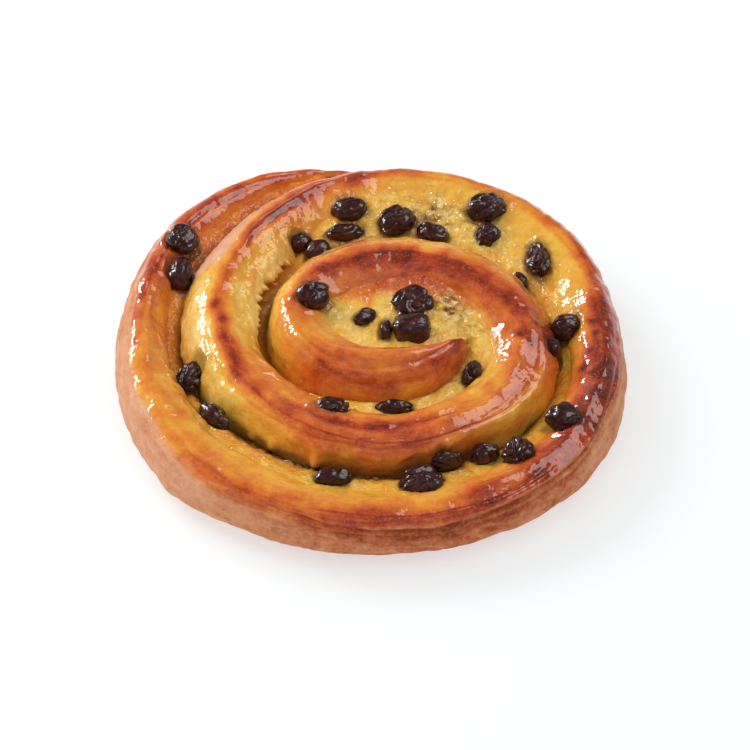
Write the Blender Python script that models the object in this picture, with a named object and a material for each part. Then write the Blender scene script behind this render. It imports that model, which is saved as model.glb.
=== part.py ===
"""A chocolate brioche swirl: one strip of dough coiled on itself, the custard between its
turns, and dark drops baked into both.

Lengths inside the functions are millimetres, measured from the coil's pole with +Z up.
Angles are degrees, counted anticlockwise seen from above from the tail at the outside to
the tip in the middle, so one place on the strip has one angle however often it goes round.
"""
import math
from dataclasses import dataclass

import bmesh
import bpy
import numpy as np

MM = 0.001
FULL_TURN = 360.0

# Where the strip of dough starts and ends, and how it narrows there
TAIL_ANGLE = 97.5
TIP_ANGLE = 1060.0
TAIL_TAPER = 40.0
TIP_TAPER = 16.0
END_SIZE = 0.3
END_DROP = 0.4

# The strip's radii at its girth, its crest and its inner wall
RADII = (
    (90.0, 51.5, 50.5, 49.5),
    (112.0, 55.0, 52.0, 49.0),
    (135.0, 57.5, 53.5, 48.0),
    (180.0, 58.0, 52.5, 47.5),
    (202.0, 60.5, 54.5, 46.5),
    (225.0, 62.5, 57.0, 46.5),
    (247.0, 61.5, 58.0, 47.0),
    (292.0, 60.0, 57.5, 46.0),
    (315.0, 58.5, 55.0, 45.5),
    (337.0, 55.0, 50.0, 42.5),
    (360.0, 51.0, 46.5, 38.5),
    (382.0, 50.0, 46.0, 36.0),
    (405.0, 50.0, 45.5, 33.5),
    (450.0, 48.0, 44.0, 31.0),
    (495.0, 46.5, 39.0, 31.0),
    (540.0, 44.0, 36.0, 28.0),
    (585.0, 41.5, 36.5, 26.0),
    (630.0, 41.0, 38.5, 27.0),
    (652.0, 39.5, 37.0, 26.0),
    (675.0, 40.0, 36.5, 25.0),
    (697.0, 39.5, 34.0, 24.0),
    (765.0, 30.5, 20.0, 11.0),
    (787.0, 28.0, 17.5, 8.5),
    (832.0, 27.0, 16.0, 7.5),
    (900.0, 25.5, 20.5, 11.5),
    (967.0, 22.5, 16.5, 10.5),
    (1012.0, 21.5, 16.0, 11.5),
    (1060.0, 20.5, 18.5, 16.0),
)

# The heights of its crest and of its inner lip
HEIGHTS = (
    (90.0, 12.5, 9.0),
    (180.0, 15.5, 8.5),
    (270.0, 14.0, 9.0),
    (337.0, 16.0, 9.0),
    (405.0, 16.0, 8.5),
    (495.0, 17.0, 8.5),
    (607.0, 17.0, 11.0),
    (675.0, 17.0, 11.0),
    (765.0, 20.0, 14.0),
    (900.0, 19.0, 14.0),
    (1012.0, 20.0, 14.0),
    (1060.0, 18.0, 13.5),
)

# How full its outer and its inner shoulder are, where 2 is round and 1 a straight slope
SHOULDERS = (
    (90.0, 2.0, 2.0),
    (180.0, 2.0, 1.7),
    (247.0, 2.2, 1.8),
    (382.0, 2.1, 1.7),
    (450.0, 2.1, 1.5),
    (495.0, 1.9, 1.7),
    (585.0, 1.9, 2.0),
    (630.0, 2.1, 2.4),
    (697.0, 1.9, 2.0),
    (787.0, 2.0, 1.5),
    (900.0, 2.1, 1.8),
    (1012.0, 2.1, 2.3),
    (1060.0, 2.0, 2.0),
)

# The furrow along its crest, as the way from the crest and the depth
FURROWS = (
    (570.0, -3.5, 0.0),
    (607.0, -3.5, 0.8),
    (652.0, -4.0, 0.8),
    (710.0, -3.0, 0.0),
    (885.0, 2.0, 0.0),
    (967.0, 2.0, 0.6),
    (1012.0, 2.0, 0.5),
    (1050.0, 2.0, 0.0),
)
FURROW_WIDTH = 1.3

# Its two sides below the shoulders
GIRTH_HEIGHT = 6.5
LEAST_LIP_DROP = 2.0
LEAST_GIRTH_DROP = 1.0
OUTSIDE_UNDERCUT = 5.5
INSIDE_UNDERCUT = 1.6
INSIDE_ANGLES = (430.0, 475.0)
UNDERCUT_SHARE = 0.4
FOOT = 0.5

# The facets: the angle between sections and, along a section, the turns round each
# shoulder and the places between the board and the girth or the lip
ANGLE_STEP = 7.5
TAIL_STEP = 2.5
TIP_STEPS = (4.0, 1.5, 0.0)
OUTER_TURNS = (0, 24, 45, 64, 78)
INNER_TURNS = (0, 14, 26, 38, 50, 64, 78, 90)
WAIST_MIDDLE = 0.4
LIP_MIDDLE = 0.45

# The custard's level in the gap inside each turn, against that turn and against the next
FILL = (
    (90.0, 10.5, 10.0),
    (158.0, 11.5, 10.5),
    (180.0, 8.0, 7.0),
    (195.0, 8.0, 7.0),
    (215.0, 10.5, 9.5),
    (315.0, 11.0, 10.0),
    (345.0, 9.0, 8.0),
    (370.0, 12.0, 9.5),
    (400.0, 14.5, 11.5),
    (450.0, 15.0, 12.0),
    (475.0, 13.0, 11.0),
    (500.0, 8.5, 7.5),
    (545.0, 7.0, 6.0),
    (575.0, 9.5, 8.5),
    (607.0, 12.0, 11.5),
    (675.0, 12.5, 12.0),
    (705.0, 14.0, 13.5),
    (742.0, 16.0, 15.5),
    (900.0, 15.5, 15.5),
)
FILL_START = 105.0
LEAST_LEVEL_RISE = 0.2
CROWN = 0.3

# The custard's way round the tip, and its wider pool in the middle
NOSE_CLEARANCE = 2.8
NOSE_TURN = 709.0
NOSE_SHARES = (1.0, 0.8, 0.6, 0.3, 0.0)
POOL_START = 719.0
POOL_END = 885.0
POOL_RETURN = 915.0
POOL_CROWN = 0.5

# Each drop: its place from the pole, its length, width and height, the turn of its
# length, and how far its middle lies above the surface there
DROPS = (
    (-8.0, 34.0, 7.5, 6.0, 5.0, 10.0, 1.0),
    (-18.5, 26.5, 5.0, 4.5, 4.5, 40.0, 0.5),
    (-14.5, 23.5, 6.5, 5.0, 5.0, 40.0, 1.0),
    (-8.5, 28.5, 7.5, 4.0, 4.5, 10.0, 0.5),
    (2.5, 31.0, 7.5, 7.0, 5.5, 20.0, 1.0),
    (10.0, 27.5, 7.0, 5.0, 5.0, -20.0, 0.5),
    (22.0, 33.5, 8.5, 7.5, 6.0, 10.0, 1.0),
    (22.0, 27.0, 5.0, 4.5, 4.5, 70.0, 0.0),
    (33.0, 19.5, 10.0, 5.5, 5.0, 100.0, 1.0),
    (29.0, 14.5, 4.5, 3.0, 4.0, 115.0, 0.0),
    (39.0, -0.5, 7.0, 6.0, 5.5, 20.0, 2.5),
    (36.0, -7.5, 5.0, 4.0, 4.5, 75.0, 0.0),
    (38.0, -30.0, 7.5, 7.0, 6.0, -20.0, 1.0),
    (28.5, -39.0, 8.0, 6.5, 6.0, 85.0, 1.0),
    (21.5, -38.0, 6.5, 5.0, 5.0, 20.0, 1.5),
    (13.0, -40.0, 7.5, 5.0, 5.0, 15.0, 1.0),
    (8.5, -46.0, 9.0, 7.0, 6.0, 15.0, 1.0),
    (-11.5, -44.5, 8.0, 5.0, 5.0, 0.0, 1.0),
    (-36.5, -25.5, 8.5, 4.0, 4.5, -50.0, 1.0),
    (-42.0, -13.5, 9.0, 5.5, 5.0, 60.0, 3.0),
    (-44.5, 16.5, 8.0, 7.0, 6.0, 100.0, 1.0),
    (-44.0, 25.0, 8.0, 7.0, 6.0, 75.0, 1.0),
    (-15.5, 3.0, 7.0, 6.5, 6.0, 40.0, 1.0),
    (-4.5, -1.0, 5.0, 4.5, 4.5, 30.0, 1.0),
    (5.5, 3.0, 7.0, 6.5, 5.5, 10.0, 0.5),
    (5.5, -5.5, 7.0, 6.0, 5.5, -5.0, 1.5),
    (0.0, -5.0, 6.0, 3.0, 4.5, 85.0, 1.0),
    (18.5, -15.5, 7.0, 4.0, 5.0, 70.0, 1.0),
    (2.5, -24.5, 8.0, 4.0, 4.5, 0.0, 0.5),
    (-11.5, -27.0, 8.0, 5.0, 5.0, -5.0, -0.5),
)
DROP_LUMP = 0.07

GAP = 0.3

DOUGH_COLOUR = (0.62, 0.26, 0.07, 1.0)
CUSTARD_COLOUR = (0.72, 0.48, 0.12, 1.0)
DROP_COLOUR = (0.03, 0.012, 0.01, 1.0)


@dataclass
class Section:
    """The strip's cross-section at one angle, as radii, heights and shoulder shapes."""
    girth: float
    crest: float
    inner: float
    top: float
    lip: float
    waist: float
    undercut: float
    outer_power: float
    inner_power: float
    furrow_place: float
    furrow_depth: float

    def furrow(self, radius):
        """How far the furrow lowers the top at a radius."""
        off = (radius - self.crest - self.furrow_place) / FURROW_WIDTH
        return self.furrow_depth * math.exp(-off * off)

    def outer_side(self, height):
        """The radius of the outer side at a height."""
        if height <= self.waist:
            return self.girth - self.undercut * (1.0 - height / self.waist) ** 2
        share = min((height - self.waist) / (self.top - self.waist), 1.0)
        reach = (1.0 - share ** self.outer_power) ** (1.0 / self.outer_power)
        return self.crest + (self.girth - self.crest) * reach

    def inner_side(self, height):
        """The radius of the inner side at a height."""
        if height <= self.lip:
            return self.inner + FOOT * (1.0 - height / self.lip) ** 2
        share = min((height - self.lip) / (self.top - self.lip), 1.0)
        reach = (1.0 - share ** self.inner_power) ** (1.0 / self.inner_power)
        return self.crest - (self.crest - self.inner) * reach

    def top_side(self, radius):
        """The height of the top at a radius, or None beside the strip."""
        if not self.inner <= radius <= self.girth:
            return None
        if radius > self.crest:
            share = (radius - self.crest) / (self.girth - self.crest)
            power, base = self.outer_power, self.waist
        else:
            share = (self.crest - radius) / (self.crest - self.inner)
            power, base = self.inner_power, self.lip
        rise = (1.0 - share ** power) ** (1.0 / power)
        return base + (self.top - base) * rise - self.furrow(radius)

    def profile(self):
        """The closed outline, as radius and height, from the outer foot to the inner."""
        points = [(self.outer_side(z), z) for z in (0.0, WAIST_MIDDLE * self.waist)]
        for turn in np.radians(OUTER_TURNS):
            power = 2.0 / self.outer_power
            radius = self.crest + (self.girth - self.crest) * math.cos(turn) ** power
            height = self.waist + (self.top - self.waist) * math.sin(turn) ** power
            points.append((radius, height - self.furrow(radius)))
        for turn in np.radians(INNER_TURNS):
            power = 2.0 / self.inner_power
            radius = self.crest - (self.crest - self.inner) * math.sin(turn) ** power
            height = self.lip + (self.top - self.lip) * math.cos(turn) ** power
            points.append((radius, height - self.furrow(radius)))
        points += [(self.inner_side(z), z) for z in (LIP_MIDDLE * self.lip, 0.0)]
        return points


def clear_scene():
    """Empties the open scene."""
    for old in list(bpy.data.objects):
        bpy.data.objects.remove(old, do_unlink=True)


def smooth(table, angle):
    """The table's columns at an angle, on one smooth curve through its rows."""
    rows = np.array(table)
    place = rows[:, 0]
    angle = min(max(angle, place[0]), place[-1])
    i = int(min(max(np.searchsorted(place, angle) - 1, 0), len(place) - 2))
    before = max(i - 1, 0)
    after = min(i + 2, len(place) - 1)
    span = place[i + 1] - place[i]
    start_slope = (rows[i + 1] - rows[before]) / (place[i + 1] - place[before])
    end_slope = (rows[after] - rows[i]) / (place[after] - place[i])
    t = (angle - place[i]) / span
    return (
        (2 * t ** 3 - 3 * t ** 2 + 1) * rows[i]
        + (t ** 3 - 2 * t ** 2 + t) * span * start_slope
        + (3 * t ** 2 - 2 * t ** 3) * rows[i + 1]
        + (t ** 3 - t ** 2) * span * end_slope
    )[1:]


def end_size(angle):
    """How much of its full section the strip has, less near its tail and its tip."""
    from_tail = (angle - TAIL_ANGLE) / TAIL_TAPER
    from_tip = (TIP_ANGLE - angle) / TIP_TAPER
    share = min(max(min(from_tail, from_tip), 0.0), 1.0)
    return END_SIZE + (1.0 - END_SIZE) * math.sqrt(1.0 - (1.0 - share) ** 2)


def section(angle, gap=0.0):
    """The strip's section at an angle, grown all round by a gap."""
    girth, crest, inner = smooth(RADII, angle)
    top, lip = smooth(HEIGHTS, angle)
    outer_power, inner_power = smooth(SHOULDERS, angle)
    furrow_place, furrow_depth = smooth(FURROWS, angle)
    size = end_size(angle)
    girth = crest + (girth - crest) * size + gap
    inner = crest - (crest - inner) * size - gap
    top = top * (1.0 - END_DROP * (1.0 - size)) + gap
    lip = min(lip, top - gap - LEAST_LIP_DROP) + gap
    waist = min(GIRTH_HEIGHT, lip - LEAST_GIRTH_DROP)
    undercut = np.interp(angle, INSIDE_ANGLES, (OUTSIDE_UNDERCUT, INSIDE_UNDERCUT))
    undercut = min(undercut, UNDERCUT_SHARE * (girth - inner))
    return Section(
        girth, crest, inner, top, lip, waist, undercut,
        outer_power, inner_power, furrow_place, max(furrow_depth, 0.0),
    )


def surface_height(x, y):
    """The height of the dough, or of the custard between its turns, at a place."""
    radius = math.hypot(x, y)
    turn = math.degrees(math.atan2(y, x)) % FULL_TURN
    height = 0.0
    for angle in np.arange(turn, TIP_ANGLE, FULL_TURN):
        if angle < TAIL_ANGLE:
            continue
        cut = section(angle)
        if radius < cut.crest:
            height = max(height, float(np.mean(smooth(FILL, angle))))
        top = cut.top_side(radius)
        if top is not None:
            return max(height, top)
    return height


def strip_angles():
    """The angles of the strip's sections, closer together at its two ends."""
    inside = np.arange(TAIL_ANGLE + ANGLE_STEP, TIP_ANGLE - TIP_STEPS[0], ANGLE_STEP)
    near_tip = [TIP_ANGLE - step for step in TIP_STEPS]
    return [TAIL_ANGLE, TAIL_ANGLE + TAIL_STEP] + list(inside) + near_tip


def on_ray(angle, radius, height):
    """A point at an angle and a radius from the pole."""
    turn = math.radians(angle)
    return (radius * math.cos(turn), radius * math.sin(turn), height)


def outline_centre():
    """The middle of the box round the coil's outline, which becomes the origin."""
    outside = np.arange(TAIL_ANGLE, TAIL_ANGLE + FULL_TURN)
    rim = np.array([on_ray(angle, section(angle).girth, 0.0) for angle in outside])
    return (rim.min(axis=0) + rim.max(axis=0)) / 2.0


def close_end(shape, ring):
    """Faces over an end ring, each between its two sides, from the foot up to the top."""
    last = len(ring) - 1
    for i in range(last // 2):
        corners = (ring[i], ring[i + 1], ring[last - i - 1], ring[last - i])
        shape.faces.new(list(dict.fromkeys(corners)))


def loft(name, rings, material, pole):
    """A closed solid through a row of rings with equally many points."""
    shape = bmesh.new()
    rows = []
    for ring in rings:
        rows.append([shape.verts.new(np.array(point) * MM) for point in ring])
    for row, following in zip(rows, rows[1:]):
        for i in range(len(row)):
            j = (i + 1) % len(row)
            shape.faces.new((row[i], row[j], following[j], following[i]))
    close_end(shape, list(reversed(rows[0])))
    close_end(shape, rows[-1])
    bmesh.ops.triangulate(shape, faces=shape.faces[:])
    if shape.calc_volume(signed=True) < 0.0:
        bmesh.ops.reverse_faces(shape, faces=shape.faces[:])
    mesh = bpy.data.meshes.new(name)
    shape.to_mesh(mesh)
    shape.free()
    mesh.shade_smooth()
    mesh.materials.append(material)
    solid = bpy.data.objects.new(name, mesh)
    solid.parent = pole
    pole.users_collection[0].objects.link(solid)
    return solid


def make_material(name, colour, roughness):
    """A plain finish with one colour."""
    finish = bpy.data.materials.new(name)
    finish.use_nodes = True
    shader = finish.node_tree.nodes["Principled BSDF"]
    shader.inputs["Base Color"].default_value = colour
    shader.inputs["Roughness"].default_value = roughness
    return finish


def make_dough(pole):
    """The coiled strip of dough."""
    rings = []
    for angle in strip_angles():
        profile = section(angle).profile()
        rings.append([on_ray(angle, radius, height) for radius, height in profile])
    dough = make_material("baked_dough", DOUGH_COLOUR, 0.3)
    return loft("dough_coil", rings, dough, pole)


def custard_outer(angle, level):
    """The custard's boundary against the inner side of the turn at an angle, upwards."""
    cut = section(angle, GAP)
    low = LIP_MIDDLE * cut.lip
    if level > cut.lip + LEAST_LEVEL_RISE:
        heights = (0.0, low, cut.lip, (cut.lip + level) / 2, level)
    else:
        heights = (0.0, low, low + (level - low) / 3, low + (level - low) * 2 / 3, level)
    return [on_ray(angle, cut.inner_side(z), z) for z in heights]


def custard_inner(angle, level):
    """The custard's boundary against the outer side of the turn at an angle, downwards."""
    cut = section(angle, GAP)
    level = max(level, cut.waist + LEAST_LEVEL_RISE)
    low = WAIST_MIDDLE * cut.waist
    heights = (level, (level + cut.waist) / 2, cut.waist, low, 0.0)
    return [on_ray(angle, cut.outer_side(z), z) for z in heights]


def nose_line(level):
    """The custard's boundary in front of the tip, downwards."""
    angle, radius = TIP_ANGLE + NOSE_CLEARANCE, section(TIP_ANGLE).crest
    return [on_ray(angle, radius, level * share) for share in NOSE_SHARES]


def custard_ring(outer, inner, crown):
    """The custard's closed section between its two boundaries, with a crowned top."""
    start, end = np.array(outer[-1]), np.array(inner[0])
    rise = np.array((0.0, 0.0, crown))
    across = [start + (end - start) * share + rise for share in (1 / 3, 2 / 3)]
    return outer + across + inner


def custard_rings():
    """The custard's sections along the gap, round the tip and back into the pool."""
    rings = []
    angles = [a for a in strip_angles() if FILL_START + FULL_TURN <= a < TIP_ANGLE]
    for angle in angles:
        high, low = smooth(FILL, angle - FULL_TURN)
        outer = custard_outer(angle - FULL_TURN, high)
        rings.append(custard_ring(outer, custard_inner(angle, low), CROWN))
    high, low = smooth(FILL, NOSE_TURN)
    rings.append(custard_ring(custard_outer(NOSE_TURN, high), nose_line(low), CROWN))
    returning = [a for a in reversed(angles) if a >= POOL_RETURN]
    for angle, back in zip(np.linspace(POOL_START, POOL_END, len(returning)), returning):
        high, low = smooth(FILL, angle)
        inner = list(reversed(custard_outer(back, low)))
        rings.append(custard_ring(custard_outer(angle, high), inner, POOL_CROWN))
    return rings


def make_custard(pole):
    """The custard, from the board up to its level, in the gap all along the coil."""
    custard = make_material("custard", CUSTARD_COLOUR, 0.35)
    return loft("custard_filling", custard_rings(), custard, pole)


def lump(direction, number):
    """A drop's uneven size in a direction, near 1."""
    x, y, z = direction
    wave = math.sin(2.6 * x + 1.7 * y + number) + math.sin(3.1 * y - 2.2 * z + 2.3 * number)
    wave += math.sin(2.9 * z + 1.9 * x + 3.7 * number)
    return 1.0 + DROP_LUMP * wave


def make_drop(name, number, gap, material, pole, collection):
    """One drop, grown all round by a gap, seated in the surface at its place."""
    x, y, length, width, height, yaw, lift = DROPS[number]
    bpy.ops.mesh.primitive_ico_sphere_add(subdivisions=2, radius=1.0)
    drop = bpy.context.object
    drop.name = drop.data.name = name
    for vertex in drop.data.vertices:
        direction = vertex.co.normalized()
        half = np.array((length, width, height)) / 2 * lump(direction, number) + gap
        vertex.co = np.array(direction) * half * MM
    drop.data.shade_smooth()
    drop.data.materials.append(material)
    for old in drop.users_collection:
        old.objects.unlink(drop)
    collection.objects.link(drop)
    drop.parent = pole
    drop.location = (x * MM, y * MM, (surface_height(x, y) + lift) * MM)
    drop.rotation_euler.z = math.radians(yaw)
    return drop


def make_drops(pole, cutters):
    """The drops, and a slightly larger cutter for the seat of each one."""
    dark = make_material("dark_drop", DROP_COLOUR, 0.25)
    pastry = pole.users_collection[0]
    for number in range(len(DROPS)):
        make_drop(f"drop_{number + 1:02d}", number, 0.0, dark, pole, pastry)
        seat = make_drop(f"seat_{number + 1:02d}", number, GAP, dark, pole, cutters)
        seat.hide_render = True
        seat.display_type = "WIRE"


def cut_seats(solid, cutters):
    """Takes the drops' seats out of a solid."""
    cut = solid.modifiers.new("seats", "BOOLEAN")
    cut.operation = "DIFFERENCE"
    cut.solver = "EXACT"
    cut.operand_type = "COLLECTION"
    cut.collection = cutters


def main():
    clear_scene()
    scene_root = bpy.context.scene.collection
    pastry = bpy.data.collections.new("brioche_swirl")
    cutters = bpy.data.collections.new("seat_cutters")
    scene_root.children.link(pastry)
    scene_root.children.link(cutters)
    pole = bpy.data.objects.new("pole", None)
    pole.location = -outline_centre() * MM
    pastry.objects.link(pole)
    dough = make_dough(pole)
    custard = make_custard(pole)
    make_drops(pole, cutters)
    cut_seats(dough, cutters)
    cut_seats(custard, cutters)


main()
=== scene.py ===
"""The looks of the chocolate brioche swirl: its baked and torn dough, the moist custard in
the gap and the dark wrinkled drops, over the solids of the frame.

Lengths inside the functions are millimetres, measured from the coil's pole with +Z up.
Angles are degrees, counted anticlockwise seen from above from the tail at the outside to
the tip in the middle, so one place on the strip has one angle however often it goes round.
"""

import math

import bmesh
import bpy
import numpy as np
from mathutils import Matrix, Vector, noise


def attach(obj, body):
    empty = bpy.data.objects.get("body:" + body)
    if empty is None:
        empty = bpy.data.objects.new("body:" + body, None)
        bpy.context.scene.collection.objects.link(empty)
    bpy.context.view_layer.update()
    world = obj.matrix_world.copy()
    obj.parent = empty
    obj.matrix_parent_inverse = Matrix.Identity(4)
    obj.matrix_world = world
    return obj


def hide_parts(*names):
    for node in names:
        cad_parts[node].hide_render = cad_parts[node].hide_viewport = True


MM = 0.001
FULL_TURN = 360.0
QUARTER_TURN = math.pi / 2

# The strip of dough, as the solid has it: where it starts and ends, its radii at girth,
# crest and inner wall, the heights of its crest and inner lip, the fullness of its two
# shoulders, and the furrow along its crest as a distance from the crest and a depth
TAIL_ANGLE = 97.5
TIP_ANGLE = 1060.0
TAIL_TAPER = 40.0
TIP_TAPER = 16.0
END_SIZE = 0.3
END_DROP = 0.4
RADII = (
    (90, 51.5, 50.5, 49.5), (112, 55, 52, 49), (135, 57.5, 53.5, 48), (180, 58, 52.5, 47.5),
    (202, 60.5, 54.5, 46.5), (225, 62.5, 57, 46.5), (247, 61.5, 58, 47), (292, 60, 57.5, 46),
    (315, 58.5, 55, 45.5), (337, 55, 50, 42.5), (360, 51, 46.5, 38.5), (382, 50, 46, 36),
    (405, 50, 45.5, 33.5), (450, 48, 44, 31), (495, 46.5, 39, 31), (540, 44, 36, 28),
    (585, 41.5, 36.5, 26), (630, 41, 38.5, 27), (652, 39.5, 37, 26), (675, 40, 36.5, 25),
    (697, 39.5, 34, 24), (765, 30.5, 20, 11), (787, 28, 17.5, 8.5), (832, 27, 16, 7.5),
    (900, 25.5, 20.5, 11.5), (967, 22.5, 16.5, 10.5), (1012, 21.5, 16, 11.5),
    (1060, 20.5, 18.5, 16),
)
HEIGHTS = (
    (90, 12.5, 9), (180, 15.5, 8.5), (270, 14, 9), (337, 16, 9), (405, 16, 8.5), (495, 17, 8.5),
    (607, 17, 11), (675, 17, 11), (765, 20, 14), (900, 19, 14), (1012, 20, 14),
    (1060, 18, 13.5),
)
SHOULDERS = (
    (90, 2, 2), (180, 2, 1.7), (247, 2.2, 1.8), (382, 2.1, 1.7), (450, 2.1, 1.5),
    (495, 1.9, 1.7), (585, 1.9, 2), (630, 2.1, 2.4), (697, 1.9, 2), (787, 2, 1.5),
    (900, 2.1, 1.8), (1012, 2.1, 2.3), (1060, 2, 2),
)
FURROWS = (
    (570, -3.5, 0), (607, -3.5, 0.8), (652, -4, 0.8), (710, -3, 0), (885, 2, 0), (967, 2, 0.6),
    (1012, 2, 0.5), (1050, 2, 0),
)
FURROW_WIDTH = 1.3
GIRTH_HEIGHT = 6.5
LEAST_LIP_DROP = 2.0
LEAST_GIRTH_DROP = 1.0
OUTSIDE_UNDERCUT = 5.5
INSIDE_UNDERCUT = 1.6
INSIDE_ANGLES = (430.0, 475.0)
UNDERCUT_SHARE = 0.4
FOOT = 0.5

# The custard, as the solid has it: its level in the gap inside each turn, against that
# turn and against the next, its way round the tip and its pool in the middle
FILL = (
    (90, 10.5, 10), (158, 11.5, 10.5), (180, 8, 7), (195, 8, 7), (215, 10.5, 9.5),
    (315, 11, 10), (345, 9, 8), (370, 12, 9.5), (400, 14.5, 11.5), (450, 15, 12), (475, 13, 11),
    (500, 8.5, 7.5), (545, 7, 6), (575, 9.5, 8.5), (607, 12, 11.5), (675, 12.5, 12),
    (705, 14, 13.5), (742, 16, 15.5), (900, 15.5, 15.5),
)
FILL_START = 105.0
NOSE_ANGLE = 1063.0
NOSE_TURN = 709.0
POOL_START = 719.0
POOL_END = 885.0
POOL_RETURN = 915.0
CROWN = 0.4

# How finely the looks are modelled: the step in degrees for measuring the strip, the step
# along it and the rows of points round its section; then the custard and the drops; and the
# least length of an outward direction before it is brought to 1
FINE_ANGLE = 0.25
STRIP_STEP = 0.48
WALL_ROWS = 10
OUTER_ROWS = 25
INNER_ROWS = 21
INSIDE_ROWS = 8
BASE_ROWS = 3
CUSTARD_STEP = 0.38
CUSTARD_ROWS = 36
DROP_SUBDIVISIONS = 5
LEAST_NORMAL = 1e-9

# The rounding of the strip's ends, as rings and reach, and the last ring's size
TAIL_END = (4, 0.6)
TIP_END = (5, 1.0)
LEAST_RING = 0.02

# The degrees over which something begins or ends along the strip
SHORT_FADE = 8.0
LONG_FADE = 12.0

# Noise, as its strength, feature size and seed: the size is in millimetres over a surface,
# and in degrees where the noise changes along the strip only
SEED_SHIFT = 17.31
SWELLS = (0.45, 11.0, 1)
LUMPS = ((0.34, 5.0, 2), (0.16, 2.4, 3))
GRAIN = (0.10, 1.4, 4)
BLISTERS = (0.50, 1.6, 11)
DOUGH_SEAT_LUMPS = (2.0, 2.5, 10)
DEPTH_ALONG = (0.08, 9.0, 52)
DEPTH_CHANGE = (0.13, 4.0, 53)
WIDTH_CHANGE = (0.4, 8.0, 54)
BAND_SHIFT = (0.12, 9.0, 6)
BAKE_MOTTLES = ((0.12, 5.0, 5), (0.08, 1.8, 9))
GLAZE_SWING = (0.10, 7.0, 12)
CUSTARD_LUMPS = ((0.45, 3.2, 21), (0.08, 0.9, 23))
CURDS = (0.15, 1.5, 22)
FOAM_CURDS = (0.35, 1.5, 22)
FOAM_GRAIN = (0.15, 0.9, 23)
PITS = (1.0, 1.2, 28)
CRUMBS = (2.6, 1.5, 35)
CUSTARD_SEAT_LUMPS = (2.0, 2.5, 27)
CUSTARD_MOTTLES = ((0.14, 4.5, 24), (0.10, 1.4, 25))
FOAM_PATCHES = (1.43, 5.5, 26)
CLEAR_CHANGE = (1.6, 1.8, 32)
RIM_RAGGED = (0.5, 3.5, 31)

# Sharp ridges: their mean size, its change, over how many of their lengths, and sharpness
RIDGE_SIZE = 0.75
RIDGE_CHANGE = 0.6
RIDGE_SPREAD = 3.1
RIDGE_SHARPNESS = 3.0

# Streaks along the strip, ripples and dark blotches, each as length and width, with the
# millimetres in one way across, the seed of all three, and how much longer than wide the
# material's own streaks are
STREAK_SIZE = (9.0, 1.4)
RIPPLE_SIZE = (14.0, 2.0)
BLOTCH_SIZE = (4.5, 1.1)
HALF_WIDTH = 9.0
STREAK_SEED = 41
STREAK_STRETCH = 6.0

# The relief: the ripples' height, how much flat places calm it and crumb adds to it, and
# the height over which it comes in above the board
RIPPLE_HEIGHT = 0.22
FLAT_CALM = 0.65
CRUMB_GRAIN = 2.0
BOARD_FADE = 1.5

# The seats of the drops: their edge and its fade as shares of a drop's half length, their
# reach up and down, how much dough and custard rise there, and the ways across they keep to
SEAT_EDGE = 0.92
SEAT_WOBBLE = (0.22, 1.8, 29)
SEAT_FADE = 0.28
SEAT_REACH = 3.0
DOUGH_SEAT = 1.4
CUSTARD_SEAT = 1.2
SEAT_WAY = -1.05
STAIN_WAY = -1.3

# The browning of the strip. Ways across it are 0 on the crest, 1 at the girth, 2 at the
# outer foot, -1 at the inner lip and -2 at the inner foot. Each row has the angle, the
# place, half width and depth of the dark band, and the browning inside and outside of it
BROWNING = (
    (97, -0.10, 0.35, 0.72, 0.50, 0.50), (125, -0.15, 0.35, 0.76, 0.50, 0.55),
    (150, -0.05, 0.30, 0.78, 0.60, 0.60), (172, 0.08, 0.16, 0.70, 0.50, 0.42),
    (202, 0.10, 0.15, 0.42, 0.36, 0.28), (232, 0.15, 0.30, 0.62, 0.32, 0.48),
    (262, 0.20, 0.34, 0.80, 0.30, 0.66), (290, 0.22, 0.46, 0.84, 0.36, 0.72),
    (322, 0.04, 0.46, 0.90, 0.50, 0.70), (352, 0.09, 0.38, 0.92, 0.38, 0.72),
    (382, 0.12, 0.20, 0.75, 0.30, 0.60), (412, 0.10, 0.20, 0.50, 0.28, 0.44),
    (442, 0.12, 0.25, 0.60, 0.36, 0.50), (472, -0.02, 0.20, 0.88, 0.42, 0.58),
    (502, -0.08, 0.17, 0.80, 0.24, 0.20), (517, -0.06, 0.18, 0.66, 0.24, 0.24),
    (532, -0.05, 0.20, 0.56, 0.18, 0.08), (562, 0.00, 0.20, 0.80, 0.32, 0.10),
    (592, 0.02, 0.24, 0.70, 0.40, 0.30), (622, 0.05, 0.40, 0.70, 0.46, 0.46),
    (652, 0.15, 0.30, 0.72, 0.44, 0.46), (682, 0.00, 0.25, 0.66, 0.26, 0.28),
    (712, 0.02, 0.22, 0.80, 0.60, 0.74), (742, -0.18, 0.22, 0.84, 0.62, 0.44),
    (772, -0.19, 0.22, 0.92, 0.68, 0.30), (802, -0.16, 0.24, 0.96, 0.62, 0.32),
    (832, -0.11, 0.22, 0.90, 0.58, 0.32), (862, -0.08, 0.22, 0.86, 0.58, 0.34),
    # The row at 885 keeps the outside pale: painted light on the flank that faces the shaded void
    (885, -0.02, 0.22, 0.66, 0.44, 0.16), (922, 0.05, 0.50, 0.46, 0.32, 0.30),
    (952, 0.45, 0.25, 0.74, 0.52, 0.48), (982, 0.45, 0.22, 0.60, 0.54, 0.44),
    (1012, 0.35, 0.25, 0.64, 0.54, 0.46), (1042, 0.25, 0.25, 0.78, 0.48, 0.54),
    (1060, 0.00, 0.50, 0.80, 0.56, 0.62),
)

# A second, thin dark line along the strip: its place, half width and depth
SECOND_BAND = (
    (565, -0.20, 0.08, 0.00), (600, -0.18, 0.07, 0.80), (645, -0.22, 0.07, 0.78),
    (690, -0.20, 0.08, 0.00), (905, 0.05, 0.10, 0.00), (935, 0.08, 0.10, 0.58),
    (1005, 0.05, 0.10, 0.58), (1045, 0.00, 0.10, 0.00),
)

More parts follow.
